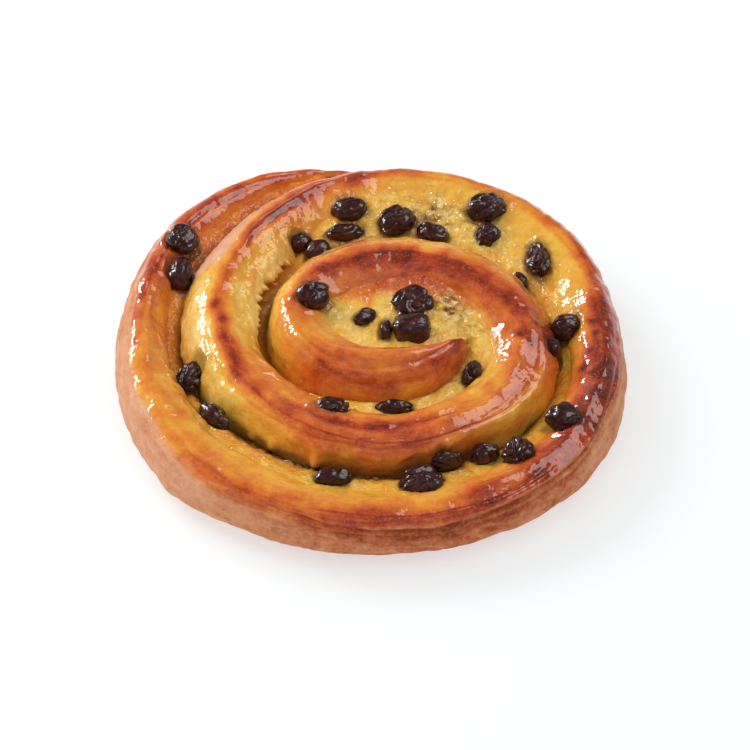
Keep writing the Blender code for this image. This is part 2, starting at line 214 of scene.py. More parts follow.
# How streaks shift the bands, where the browning beside a band changes, in half widths,
# the paler dough inside, how much of its shift the second band takes, and the least depth
# at which that one shows
STREAK_SHIFT = 0.06
BESIDE_BAND = (-0.6, 0.6)
PALE_SHARE = 0.2
PALE_WAYS = (-0.55, -1.05)
SECOND_SHIFT = 0.3
LEAST_BAND = 0.02

# How dark streaks, blotches and folds are, and the browning that blotches need
STREAK_TONE = 0.07
BLOTCH_TONE = 0.10
FOLD_TONE = 0.10
BLOTCH_LEAST = 0.05
BLOTCH_BAKE = (0.45, 0.75)

# The way across at which the glaze ends on the outside, and the browning of the matte
# wall below it; how soft that edge is, and how much more the mottles show on the wall
GLAZE_EDGE = (
    (97, 0.70, 0.70), (150, 0.45, 0.62), (172, 0.28, 0.50), (202, 0.22, 0.32),
    (232, 0.30, 0.42), (262, 0.42, 0.70), (290, 0.45, 0.74), (322, 0.40, 0.54),
    (352, 0.55, 0.50), (412, 0.60, 0.60), (445, 0.50, 0.65), (466, 0.90, 0.72),
    (484, 0.34, 0.56), (498, 0.14, 0.22), (510, 0.14, 0.06), (520, 0.40, 0.04),
    (529, 1.20, 0.10), (536, 2.50, 0.20),
)
GLAZE_FADE = 0.12
WALL_MOTTLE = 1.2

# The torn lip over the void: its rise, its undercut, its teeth as reach, length and seed,
# and its crumb; then the ragged girth beside it
TORN_ANGLES = (486.0, 552.0)
TORN_RISE = 3.2
RISING_WAYS = (-0.35, -1.0)
RISING_DEPTH = 0.5
LIP_UNDERCUT = 1.5
UNDERCUT_WAYS = (0.04, 0.3)
TORN_TEETH = (2.6, 4.4, 3)
FINE_TEETH = (1.1, 1.6, 5)
TORN_LOBES = (1.2, 5.0, 7)
TOOTH_WIDTH = 0.06
CRUMBLY_WAYS = (-0.45, -0.9)
CRUMB_MATTE = 0.6
RAGGED_ANGLES = (512.0, 556.0)
RAGGED_TEETH = (1.2, 3.52, 8)
RAGGED_WIDTH = 0.12

# Fine folds along the strip, each as ways across by angle
FOLDS = (
    ((452, -0.02), (475, -0.10), (512, -0.22)),
    ((462, 0.14), (485, 0.10), (505, 0.06)),
    ((540, 0.30), (575, 0.34), (612, 0.30), (640, 0.34)),
    ((600, -0.48), (630, -0.32), (660, -0.16), (692, -0.06)),
    ((575, -0.02), (612, 0.10), (650, 0.26), (690, 0.40)),
    ((915, -0.05), (960, 0.22), (1010, 0.20), (1050, 0.05)),
    ((930, 0.20), (975, 0.55), (1030, 0.50)),
    ((250, 0.02), (285, 0.10), (312, -0.02)),
    ((120, -0.28), (150, -0.16), (176, 0.00)),
)
FOLD_DEPTH = 0.35
FOLD_CHANGE = (1.0, 6.0, 34)
FOLD_WIDTH = 0.035
FOLD_SWING = (0.04, 7.0, 33)

# The wavy skirt at the foot of the outer flank, as a reach by angle, and the torn nibs
# that stand out of the flank: angle, way across, half length, half way across and reach
SKIRT = (
    (592, 0), (605, 1), (622, 1.5), (645, 1.2), (662, 0.4), (700, 0.5), (712, 0),
)
SKIRT_PLACE = 0.50
SKIRT_WIDTH = 0.15
SKIRT_LEAST = 0.45
SKIRT_WAVES = (0.9, 6.0, 17)
SKIRT_SWING = (0.12, 9.0, 18)
NIBS = (
    (609, 0.76, 1.2, 0.10, 2.2), (594, 0.80, 1, 0.08, 1), (586, 0.85, 1, 0.08, 0.9),
)

# Where the crust is burnt and rough, and its dark caramel spots: their place, radius and
# depth
BURNT_ANGLES = (326.0, 368.0)
BURNT_WAYS = (-0.5, 0.3)
BURNT_FADE = 0.2
SPOTS = (
    (44.6, -1.5, 0.9, 0.40), (45.4, -5, 0.7, 0.35), (44, -9.5, 0.9, 0.35),
    (42.7, -14, 1.2, 0.45), (43.8, -16.5, 0.8, 0.35), (28.9, -7.4, 1.1, 0.40),
    (31, -9.5, 0.8, 0.35), (32.5, -4, 0.8, 0.30), (-37.1, 2.6, 1.8, 0.40),
    (-35, -1.5, 1.2, 0.25),
)

# The seam round the outer wall, as ways across, with a second line below it
SEAM = (
    (205, 0.00, 0.00), (225, 0.06, 0.35), (240, 0.24, 0.60), (255, 0.45, 0.70),
    (270, 0.62, 0.70), (295, 0.68, 0.70), (315, 0.60, 0.60), (330, 0.45, 0.55),
    (350, 0.42, 0.20), (370, 0.42, 0.00),
)
SEAM_WIDTH = 0.05
SECOND_SEAM = 0.13
SECOND_SHARE = 0.7
SEAM_SIZE = 0.85
SEAM_CHANGE = (0.7, 5.0, 19)

# How far the wall below the first seam stands proud, where that ends, and how dark the
# seams and the wall between them are
SEAM_STEP = 0.36
PROUD_END = (1.0, 1.5)
SEAM_TONE = 1.2
SEAM_BROWN = 0.45
BETWEEN_TONE = 0.15
BETWEEN_FADE = 0.03

# A browner, glazed rim of the wall below the crust's edge, with its shares of crust and glaze
RIM_ANGLES = (212.0, 272.0)
RIM_WAYS = (0.04, 0.24)
RIM_FADE = 0.05
RIM_TONE = 0.10
RIM_CRUST = 0.6
RIM_GLAZE = 0.5

# The crevice between the custard and the next turn, by the outer turn's angle: its depth and
# its width, which shape it and also set the painted shade in it
CREVICE = (
    (105, 1, 1.4), (160, 1, 1.8), (205, 2.2, 2.2), (230, 3.2, 3.1), (290, 3.2, 3.1),
    (315, 3, 2.7), (335, 0.8, 1.4), (360, 0.4, 1), (400, 0.25, 1), (460, 0.25, 1),
    (500, 0.6, 1.2), (560, 0.6, 1.2), (600, 1, 1.4), (690, 0.6, 1.2), (709, 0, 1.2),
)

# The custard's browning by the outer turn's angle, and how foamy it is
CUSTARD_TONES = (
    (105, 0.54, 0), (150, 0.50, 0), (200, 0.34, 0), (235, 0.26, 0), (300, 0.22, 0),
    (340, 0.26, 0), (360, 0.30, 0.2), (390, 0.28, 0.4), (412, 0.20, 0.8), (440, 0.24, 0.9),
    (475, 0.32, 0.5), (500, 0.35, 0.1), (560, 0.30, 0), (640, 0.16, 0.3), (680, 0.12, 0.7),
    (728, 0.18, 0.9), (745, 0.20, 0.8), (800, 0.18, 0.5), (860, 0.10, 0.3), (885, 0.08, 0.2),
)

# Where the custard meets the outer turn: the browning and foam of both there, how far the
# tone goes up the dough and out over the custard, and how much the custard rises to it
EDGE_TONES = (
    (105, 0.50, 0, 1.5, 1.5, 0), (200, 0.38, 0, 1.5, 1.5, 0), (235, 0.24, 0, 3, 3.5, 1),
    (300, 0.24, 0, 3, 3.5, 1.2), (335, 0.30, 0, 2, 3, 1.4), (360, 0.22, 0, 5, 3, 1),
    (395, 0.20, 0.1, 5, 3, 0.4), (420, 0.22, 0.3, 3, 3, 0.4), (445, 0.28, 0.3, 2, 3, 0.4),
    (475, 0.36, 0.2, 1.5, 2, 0), (500, 0.35, 0, 1, 1, 0), (560, 0.30, 0, 1, 1, 0),
    (640, 0.25, 0, 0.8, 1.5, 0.2), (680, 0.20, 0.3, 2.5, 2, 0.2),
    (705, 0.30, 0.4, 2.2, 2.5, 0.2), (728, 0.45, 0.2, 1.5, 3.5, 0.5), (745, 0.62, 0, 0.6, 6, 1),
    (770, 0.66, 0, 0.4, 8, 1.5), (840, 0.62, 0, 0.4, 8, 1.5), (868, 0.45, 0, 0.6, 5, 0.8),
    (885, 0.14, 0.2, 2.5, 2, 0.2),
)

# Where the dough takes the custard's tone: from how far above it, how much and on which
# ways across, except round the open gap
TONE_START = 0.3
TONE_SHARE = 0.85
TONE_WAY = -0.1
TONE_WAYS = (-1.3, -1.1)
OPEN_ANGLES = (460.0, 575.0)
OPEN_FADE = 20.0

# The ways across at which the inner side goes out of sight and is painted with shade
HIDDEN_WAYS = (-1.05, -1.5)

# Where the foot of the second turn is painted with shade in the crevice, and from how far up
FOOT_ANGLES = (566.0, 668.0)
FOOT_RISE = (-0.4, 1.8)
FOOT_WAY = 0.5

# Where torn crumbs stand in the crevice, and how high
CRUMB_ANGLES = (222.0, 276.0)
CRUMB_HEIGHT = 0.4

# How far the custard reaches into the dough, how far above the strip's waist it stays, how
# far its last ring is buried, its foot, its crown in the pool, and where the tone at the
# outer turn fades into its own, as shares of the reach
BITE = 0.4
RIM_BITE = 0.6
ABOVE_WAIST = 0.2
BURIED = 1.6
CUSTARD_FOOT = 0.1
POOL_CROWN = 0.6
RIM_BLEND = (0.2, 1.0)

# The custard's pits, foam and clear patches; the level below which painted shade darkens it,
# less so out of the void; and the depth at which the painted shade in the crevice is darkest
PIT_DEPTH = 0.7
PIT_LEAST = 0.1
FOAM_SIZE = 0.65
CLEAR_SIZE = 0.9
DEEP_LEVEL = 10.0
DEEP_FADE = 3.0
OUT_OF_VOID = 0.25
VOID_ANGLES = (465.0, 580.0)
VOID_FADE = 15.0
DARKEST_SHADE_DEPTH = 1.8

# Places where the custard is brown and clear: their place, radius and share
CLEAR_SPOTS = (
    (11, 34.5, 3.4, 0.80), (6, 31.5, 3, 0.60), (21.5, 29, 2.6, 0.40), (33, 19, 3, 0.50),
    (30.5, 12.5, 2.6, 0.50), (13, 3.5, 3.2, 1.10), (15.5, -0.5, 2.6, 0.80),
    (-11, 7.5, 2.4, 0.45), (-12, 24, 3.5, 0.80), (-4.5, 27.5, 2.6, 0.50),
)

# Flat places on the shoulder that slope outwards: the radius and height of their middle,
# and how flat they are
FLATS = (
    (280, 57.2, 14.2, 0), (297, 57, 14.3, 1), (313, 56.4, 14.5, 1), (332, 53.6, 15, 1),
    (350, 50.5, 15.6, 0), (630, 38, 16.2, 0), (655, 37.2, 16.5, 1), (677, 36.6, 16.4, 1),
    (694, 34.6, 16.2, 1), (708, 32, 16.5, 0),
)
FLAT_SLOPE = 0.47
FLAT_REACH = (1.8, 4.6)
FLAT_WAYS = (0.45, 0.95)

# The drops' looks: how deep their wrinkles are, how square they are, the size of their
# folds in millimetres, and how much larger than the solid they are
DROP_LOOKS = {
    1: (0.5, 2.2, 2.6, 1.00),
    5: (0.9, 2.3, 3.2, 1.02),
    7: (1.0, 2.1, 2.0, 1.02),
    8: (1.1, 2.1, 1.8, 1.24),
    9: (1.2, 2.0, 2.0, 1.00),
    14: (1.2, 2.2, 1.8, 1.02),
    17: (0.8, 2.4, 3.4, 1.02),
    20: (1.2, 2.0, 1.9, 1.00),
    22: (1.2, 2.1, 2.0, 1.00),
    25: (1.0, 3.2, 2.0, 1.20),
    26: (0.5, 3.2, 3.4, 1.20),
    28: (1.2, 2.2, 1.9, 1.00),
    30: (1.1, 2.1, 2.0, 1.00),
}
PLAIN_DROP = (0.6, 2.15, 2.8, 1.0)

# The drops' skin: its lumps, its deep folds, which run along the drop, and its fine creases
DROP_LUMP = 0.16
LUMP_SIZE = 0.8
LUMP_SEED = 30
FOLD_SQUASH = (1.0, 0.5, 1.0)
DROP_FOLD = 0.55
FOLD_SEED = 60
FOLD_SHARPNESS = 3.4
FOLD_POWER = 1.3
DROP_CREASE = 0.12
CREASE_SEED = 90
CREASE_SIZE = 0.45
CREASE_SHARPNESS = 3.5

# The camera: the place it looks at and the picture's height there, from far off
CAMERA_TARGET = (-3.0, -6.0, 0.0)
CAMERA_ELEVATION = 45.0
CAMERA_DISTANCE = 3.0
PICTURE_HEIGHT = 162.0
PIXELS = 750
TARGET_PIXEL = (371.5, 388.0)
SENSOR_WIDTH = 36.0
CAMERA_CLIP = (0.1, 20.0)

# The lights: direction, distance, size, brightness and colour of each, and whether it
# lights matte surfaces and shows in glossy ones
LIGHTS = (
    ("key", (-0.72, 0.58, 0.38), 0.6, (0.25, 0.10), 38.0, (1.0, 0.99, 0.97), False, True),
    ("wide", (-0.64, 0.45, 0.62), 0.8, (0.50, 0.40), 5.2, (1.0, 0.98, 0.95), True, False),
    ("front", (0.05, -0.42, 0.90), 0.9, (0.90, 0.80), 0.55, (1.0, 0.98, 0.96), True, True),
    ("fill", (0.52, 0.23, 0.82), 0.7, (0.54, 0.34), 4.6, (1.0, 0.96, 0.94), False, True),
)

# The white surround: its brightness on matte surfaces, and in gloss from low to overhead
SURROUND = 0.61
GLOSS_SURROUND = {"From Min": 0.1, "From Max": 0.55, "To Min": 0.45, "To Max": 0.04}

# The floor's size in metres and how far it lies below the pastry
FLOOR_SIZE = 6.0
FLOOR_GAP = 0.0002

# The places of the share, the two colours and the result on a node that mixes colours
COLOUR_SOCKETS = (0, 6, 7)
COLOUR_RESULT = 2


def srgb(red, green, blue):
    """A linear colour from the 0 to 255 values that a screen shows."""
    parts = np.array((red, green, blue)) / 255.0
    linear = np.where(parts < 0.04045, parts / 12.92, ((parts + 0.055) / 1.055) ** 2.4)
    return (*linear.tolist(), 1.0)


# The colours, most of them along a browning or a speckle from 0 to 1
CRUST_COLOURS = (
    (0.0, srgb(250, 214, 122)),
    (0.2, srgb(240, 184, 64)),
    (0.4, srgb(232, 142, 44)),
    (0.6, srgb(212, 102, 38)),
    (0.8, srgb(172, 56, 22)),
    (1.0, srgb(100, 26, 10)),
)
WALL_COLOURS = (
    (0.0, srgb(230, 176, 142)),
    (0.5, srgb(208, 140, 100)),
    (0.8, srgb(176, 94, 54)),
    (1.0, srgb(138, 60, 34)),
)
# The foam's own pale tones, with its whitest stop painted glints
FOAM_AND_GLINT_COLOURS = (
    (0.32, srgb(168, 118, 40)),
    (0.45, srgb(228, 176, 66)),
    (0.58, srgb(248, 208, 100)),
    (0.70, srgb(255, 246, 208)),
)
CLEAR_COLOURS = (
    (0.40, srgb(84, 54, 20)),
    (0.52, srgb(156, 112, 46)),
    (0.62, srgb(244, 216, 146)),
)
DROP_COLOURS = ((0.35, srgb(34, 11, 9)), (0.6, srgb(62, 20, 13)), (0.76, srgb(124, 48, 20)))
# Pale specks painted on the crust as glints: how much of their colour shows, and the colour
PAINTED_GLINT_SHARES = ((0.50, (0.0, 0.0, 0.0, 1.0)), (0.75, (0.13, 0.13, 0.13, 1.0)))
PAINTED_GLINT_COLOUR = srgb(246, 176, 112)
CRUMB_COLOUR = srgb(242, 208, 118)
# Brown stains round the drops; on the dough the same colour paints shade at the foot in the
# crevice
STAIN_AND_SHADE_COLOUR = srgb(84, 40, 20)
# Painted shade, dark amber, in the void and on the hidden inner side
VOID_SHADE_COLOUR = srgb(158, 106, 20)
# Painted shade in the crevice between the custard and the next turn
CREVICE_SHADE_COLOUR = srgb(96, 60, 14)

# How much painted shade colours the hidden side, and how much the seats of the drops are
# stained; on the dough that share also sets the painted shade at the foot
HIDDEN_SHADE_SHARE = 0.85
DOUGH_STAIN_AND_SHADE = 0.55
CUSTARD_STAIN = 0.7

# The materials' speckles: size in millimetres, detail and roughness
FOAM = (2.4, 5.0, 0.75)
CLEAR_SPECKLE = (1.8, 4.0, 0.7)
# The speckle of the painted glints on the crust
PAINTED_GLINTS = (0.6, 1.0, 0.5)
DROP_SPECKLE = (1.4, 3.0, 0.6)

# Speckles that change the browning, each with its share first, and how much more they
# change the wall's
MOTTLES = (0.20, 2.2, 4.0, 0.6)
PORES = (0.22, 1.0, 3.0, 0.65)
STREAKS = (0.28, 1.1, 3.0, 0.6)
CUSTARD_SPECKLE = (0.5, 2.0, 4.0, 0.65)
WALL_CHANGE = 2.1

# Speckles that stand in relief, each with its depth in millimetres first, and how strongly
# they show on the drops
SOFT_BEADS = (0.20, 1.2, 1.0, 0.5)
CRISP_BEADS = (0.30, 1.2, 1.0, 0.5)
MATTE_GRAIN = (0.14, 0.9, 3.0, 0.6)
WAVES = (0.55, 3.2, 1.0, 0.5)
CUSTARD_BEADS = (0.5, 1.6, 2.0, 0.5)
CUSTARD_GLOSS = (1.2, 1.6, 2.0, 0.5)
DROP_SKIN = (0.20, 1.2, 3.0, 0.6)
DROP_GLOSS = (0.26, 1.3, 2.0, 0.5)
DROP_STRENGTH = 0.8

# Pale dough is moister: how fast that falls with browning, with its range and its least, and
# the same two for the waves in the glaze
MOIST_POWER = 1.5
MOIST_RANGE = (0.85, 0.15)
WAVE_RANGE = (0.6, 0.2)

# The even settings of each surface
DOUGH_SHADER = {
    "Roughness": 0.6,
    "Specular IOR Level": 0.12,
    "Coat Roughness": 0.04,
    "Coat IOR": 1.45,
}
CUSTARD_SHADER = {
    "Roughness": 0.5,
    "Specular IOR Level": 0.12,
    "Coat Weight": 0.9,
    "Coat Roughness": 0.08,
}
DROP_SHADER = {
    "Roughness": 0.4,
    "Specular IOR Level": 0.15,
    "Coat Weight": 0.7,
    "Coat Roughness": 0.05,
}
FLOOR_SHADER = {
    "Base Color": (0.475, 0.52, 0.535, 1.0),
    "Emission Color": (1.0, 1.0, 1.0, 1.0),
    "Emission Strength": 0.54,
    "Roughness": 0.9,
    "Specular IOR Level": 0.0,
}


def clamp(value):
    """The value, held between 0 and 1."""
    return np.clip(value, 0.0, 1.0)


def step_up(low, high, value):
    """0 below the low value, 1 above the high one, and smooth between."""
    t = clamp((value - low) / (high - low))
    return t * t * (3.0 - 2.0 * t)


def window(ends, fade, value):
    """1 between two ends and 0 outside, smooth over a width at each."""
    return step_up(ends[0], ends[0] + fade, value) * step_up(-ends[1], -ends[1] + fade, -value)


def bell(value):
    """1 at 0, falling off smoothly past 1 on both sides."""
    return np.exp(-value * value)


def smooth(table, angles):
    """The table's columns at some angles, on one smooth curve through its rows."""
    rows = np.array(table)
    place = rows[:, 0]
    angles = np.clip(np.asarray(angles, dtype=float), place[0], place[-1])
    i = np.clip(np.searchsorted(place, angles) - 1, 0, len(place) - 2)
    before = np.maximum(i - 1, 0)
    after = np.minimum(i + 2, len(place) - 1)
    span = (place[i + 1] - place[i])[:, None]
    start_slope = (rows[i + 1] - rows[before]) / (place[i + 1] - place[before])[:, None]
    end_slope = (rows[after] - rows[i]) / (place[after] - place[i])[:, None]
    t = (angles - place[i])[:, None] / span
    curve = (
        (2 * t ** 3 - 3 * t ** 2 + 1) * rows[i]
        + (t ** 3 - 2 * t ** 2 + t) * span * start_slope
        + (3 * t ** 2 - 2 * t ** 3) * rows[i + 1]
        + (t ** 3 - t ** 2) * span * end_slope
    )
    return [curve[:, k, None] for k in range(1, rows.shape[1])]


def bumps(points, size, seed):
    """Smooth noise from about -1 to 1 over some points, with features of a size."""
    shifted = points.reshape(-1, 3) / size + seed * SEED_SHIFT
    values = np.array([noise.noise(Vector(place)) for place in shifted])
    return values.reshape(points.shape[:-1])


def layered(points, *layers):
    """The sum of layers of noise, each with its strength, feature size and seed."""
    return sum(strength * bumps(points, size, seed) for strength, size, seed in layers)


def sharp_lines(points, size, seed, sharpness):
    """Thin lines where noise crosses 0: 1 on them and 0 a little way off."""
    return clamp(1.0 - np.abs(bumps(points, size, seed)) * sharpness)


def on_axis(values, axis=0):
    """Points on one axis, for noise that changes along it only."""
    points = np.zeros((len(values), 3))
    points[:, axis] = values
    return points


def spots(points, table):
    """How strongly the round spots of a table show at each point in plan."""
    shown = np.zeros(points.shape[:-1])
    for x, y, reach, share in table:
        off = np.hypot(points[..., 0] - x, points[..., 1] - y) / reach
        shown += share * bell(off)
    return shown


def end_size(angles):
    """How much of its full section the strip has, less near its tail and its tip."""
    share = np.minimum((angles - TAIL_ANGLE) / TAIL_TAPER, (TIP_ANGLE - angles) / TIP_TAPER)
    return END_SIZE + (1.0 - END_SIZE) * np.sqrt(1.0 - (1.0 - clamp(share)) ** 2)


class Sections:
    """The strip's cross-sections at some angles, as columns of radii and heights."""

    def __init__(self, angles):
        angles = np.asarray(angles, dtype=float)
        girth, self.crest, inner = smooth(RADII, angles)
        top, lip = smooth(HEIGHTS, angles)
        self.outer_power, self.inner_power = smooth(SHOULDERS, angles)
        self.furrow_place, depth = smooth(FURROWS, angles)
        self.furrow_depth = np.maximum(depth, 0.0)
        size = end_size(angles)[:, None]
        self.girth = self.crest + (girth - self.crest) * size
        self.inner = self.crest - (self.crest - inner) * size
        self.top = top * (1.0 - END_DROP * (1.0 - size))
        self.lip = np.minimum(lip, self.top - LEAST_LIP_DROP)
        self.waist = np.minimum(GIRTH_HEIGHT, self.lip - LEAST_GIRTH_DROP)
        inside = np.interp(angles, INSIDE_ANGLES, (OUTSIDE_UNDERCUT, INSIDE_UNDERCUT))
        self.undercut = np.minimum(inside[:, None], UNDERCUT_SHARE * (self.girth - self.inner))

    def furrow(self, radius):
        """How far the furrow lowers the top at a radius."""
        off = (radius - self.crest - self.furrow_place) / FURROW_WIDTH
        return self.furrow_depth * bell(off)

    def shoulder(self, height, start, side, power):
        """The radius of a shoulder at a height, from its start up to the crest."""
        share = clamp((height - start) / (self.top - start))
        return self.crest + (side - self.crest) * (1.0 - share ** power) ** (1.0 / power)

    def outer_side(self, height):
        """The radius of the outer side at a height."""
        wall = self.girth - self.undercut * clamp(1.0 - height / self.waist) ** 2
        shoulder = self.shoulder(height, self.waist, self.girth, self.outer_power)
        return np.where(height <= self.waist, wall, shoulder)

    def inner_side(self, height):
        """The radius of the inner side at a height."""
        wall = self.inner + FOOT * clamp(1.0 - height / self.lip) ** 2
        shoulder = self.shoulder(height, self.lip, self.inner, self.inner_power)
        return np.where(height <= self.lip, wall, shoulder)


def pole_place():
    """Where the pole lies from the frame's origin, the middle of the coil's outline."""
    angles = np.arange(TAIL_ANGLE, TAIL_ANGLE + FULL_TURN)
    girth = Sections(angles).girth[:, 0]
    turns = np.radians(angles)
    rim = np.stack((girth * np.cos(turns), girth * np.sin(turns)), axis=1)
    middle = (rim.min(axis=0) + rim.max(axis=0)) / 2.0
    return np.array((-middle[0], -middle[1], 0.0))


def even_angles(start, end, step):
    """Angles an even way apart along the strip's crest, and their lengths along it."""
    fine = np.arange(start, end, FINE_ANGLE)
    crest = smooth(RADII, fine)[1][:, 0]
    length = np.concatenate(((0.0,), np.cumsum(crest[1:] * np.radians(FINE_ANGLE))))
    places = np.linspace(0.0, length[-1], int(length[-1] / step))
    return np.interp(places, length, fine), places


def on_rays(angles, radius, height):
    """Points at angles and radii from the pole."""
    turns = np.radians(angles)[:, None]
    height = np.broadcast_to(height, radius.shape)
    return np.stack((radius * np.cos(turns), radius * np.sin(turns), height), axis=2)


def strip_profile(cut):
    """The closed profile of each section as radii, heights and ways across it."""
    rise = np.linspace(0.0, 1.0, WALL_ROWS, endpoint=False)
    turn = np.linspace(0.0, QUARTER_TURN, OUTER_ROWS)
    back = np.linspace(0.0, QUARTER_TURN, INNER_ROWS + 1)[1:]
    fall = np.linspace(0.0, 1.0, INSIDE_ROWS + 1)[1:]
    base = np.linspace(0.0, 1.0, BASE_ROWS + 2)[1:-1]
    wall_z = cut.waist * rise
    wall_r = cut.outer_side(wall_z)
    power = 2.0 / cut.outer_power
    outer_r = cut.crest + (cut.girth - cut.crest) * clamp(np.cos(turn)) ** power
    outer_z = cut.waist + (cut.top - cut.waist) * np.sin(turn) ** power - cut.furrow(outer_r)
    power = 2.0 / cut.inner_power
    inner_r = cut.crest - (cut.crest - cut.inner) * np.sin(back) ** power
    inner_z = cut.lip + (cut.top - cut.lip) * clamp(np.cos(back)) ** power - cut.furrow(inner_r)
    inside_z = cut.lip * (1.0 - fall)
    inside_r = cut.inner_side(inside_z)
    base_r = inside_r[:, -1:] + (wall_r[:, :1] - inside_r[:, -1:]) * base
    radius = np.concatenate((wall_r, outer_r, inner_r, inside_r, base_r), axis=1)
    height = np.concatenate((wall_z, outer_z, inner_z, inside_z, base_r * 0.0), axis=1)
    shoulders = (1.0 - turn / QUARTER_TURN, -back / QUARTER_TURN)
    ways = np.concatenate((2.0 - rise, *shoulders, -1.0 - fall, np.full(BASE_ROWS, -2.0)))
    return radius, height, np.broadcast_to(ways, radius.shape)


def grid_normals(points):
    """The outward direction at each point of a grid of rings."""
    along = np.gradient(points, axis=0)
    wrapped = np.concatenate((points[:, -1:], points, points[:, :1]), axis=1)
    around = (wrapped[:, 2:] - wrapped[:, :-2]) / 2.0
    normals = np.cross(along, around)
    length = np.linalg.norm(normals, axis=2, keepdims=True)
    return normals / np.maximum(length, LEAST_NORMAL)


def drop_places(frame, pole):
    """Each drop's middle and its plan axes with their half lengths, about the pole."""
    places = []
    for name, node in sorted(frame["nodes"].items()):
        if not name.startswith("drop_"):
            continue
        points = np.array([vertex.co[:] for vertex in node.data.vertices]) / MM - pole
        middle = (points.min(axis=0) + points.max(axis=0)) / 2.0
        spread = points[:, :2] - middle[:2]
        values, axes = np.linalg.eigh(spread.T @ spread)
        halves = np.abs(spread @ axes).max(axis=0)
        places.append((name, middle, axes, halves, np.ptp(points[:, 2]) / 2.0))
    return places


def nearness(points, places):
    """How near points are to a drop's edge in plan: 1 inside, falling to 0 outside."""
    near = np.zeros(points.shape[:-1])
    edge = SEAT_EDGE - layered(points, SEAT_WOBBLE)
    for _, middle, axes, halves, half_height in places:
        local = (points[..., :2] - middle[:2]) @ axes / halves
        off = np.hypot(local[..., 0], local[..., 1])
        beside = np.abs(points[..., 2] - middle[2]) < half_height + SEAT_REACH
        near = np.maximum(near, beside * bell(np.maximum(off - edge, 0.0) / SEAT_FADE))
    return near


def seat_rise(points, near, rise, lumps):
    """How far a surface rises unevenly round the drops' edges."""
    return near * (1.0 - near) * (rise + layered(points, lumps))


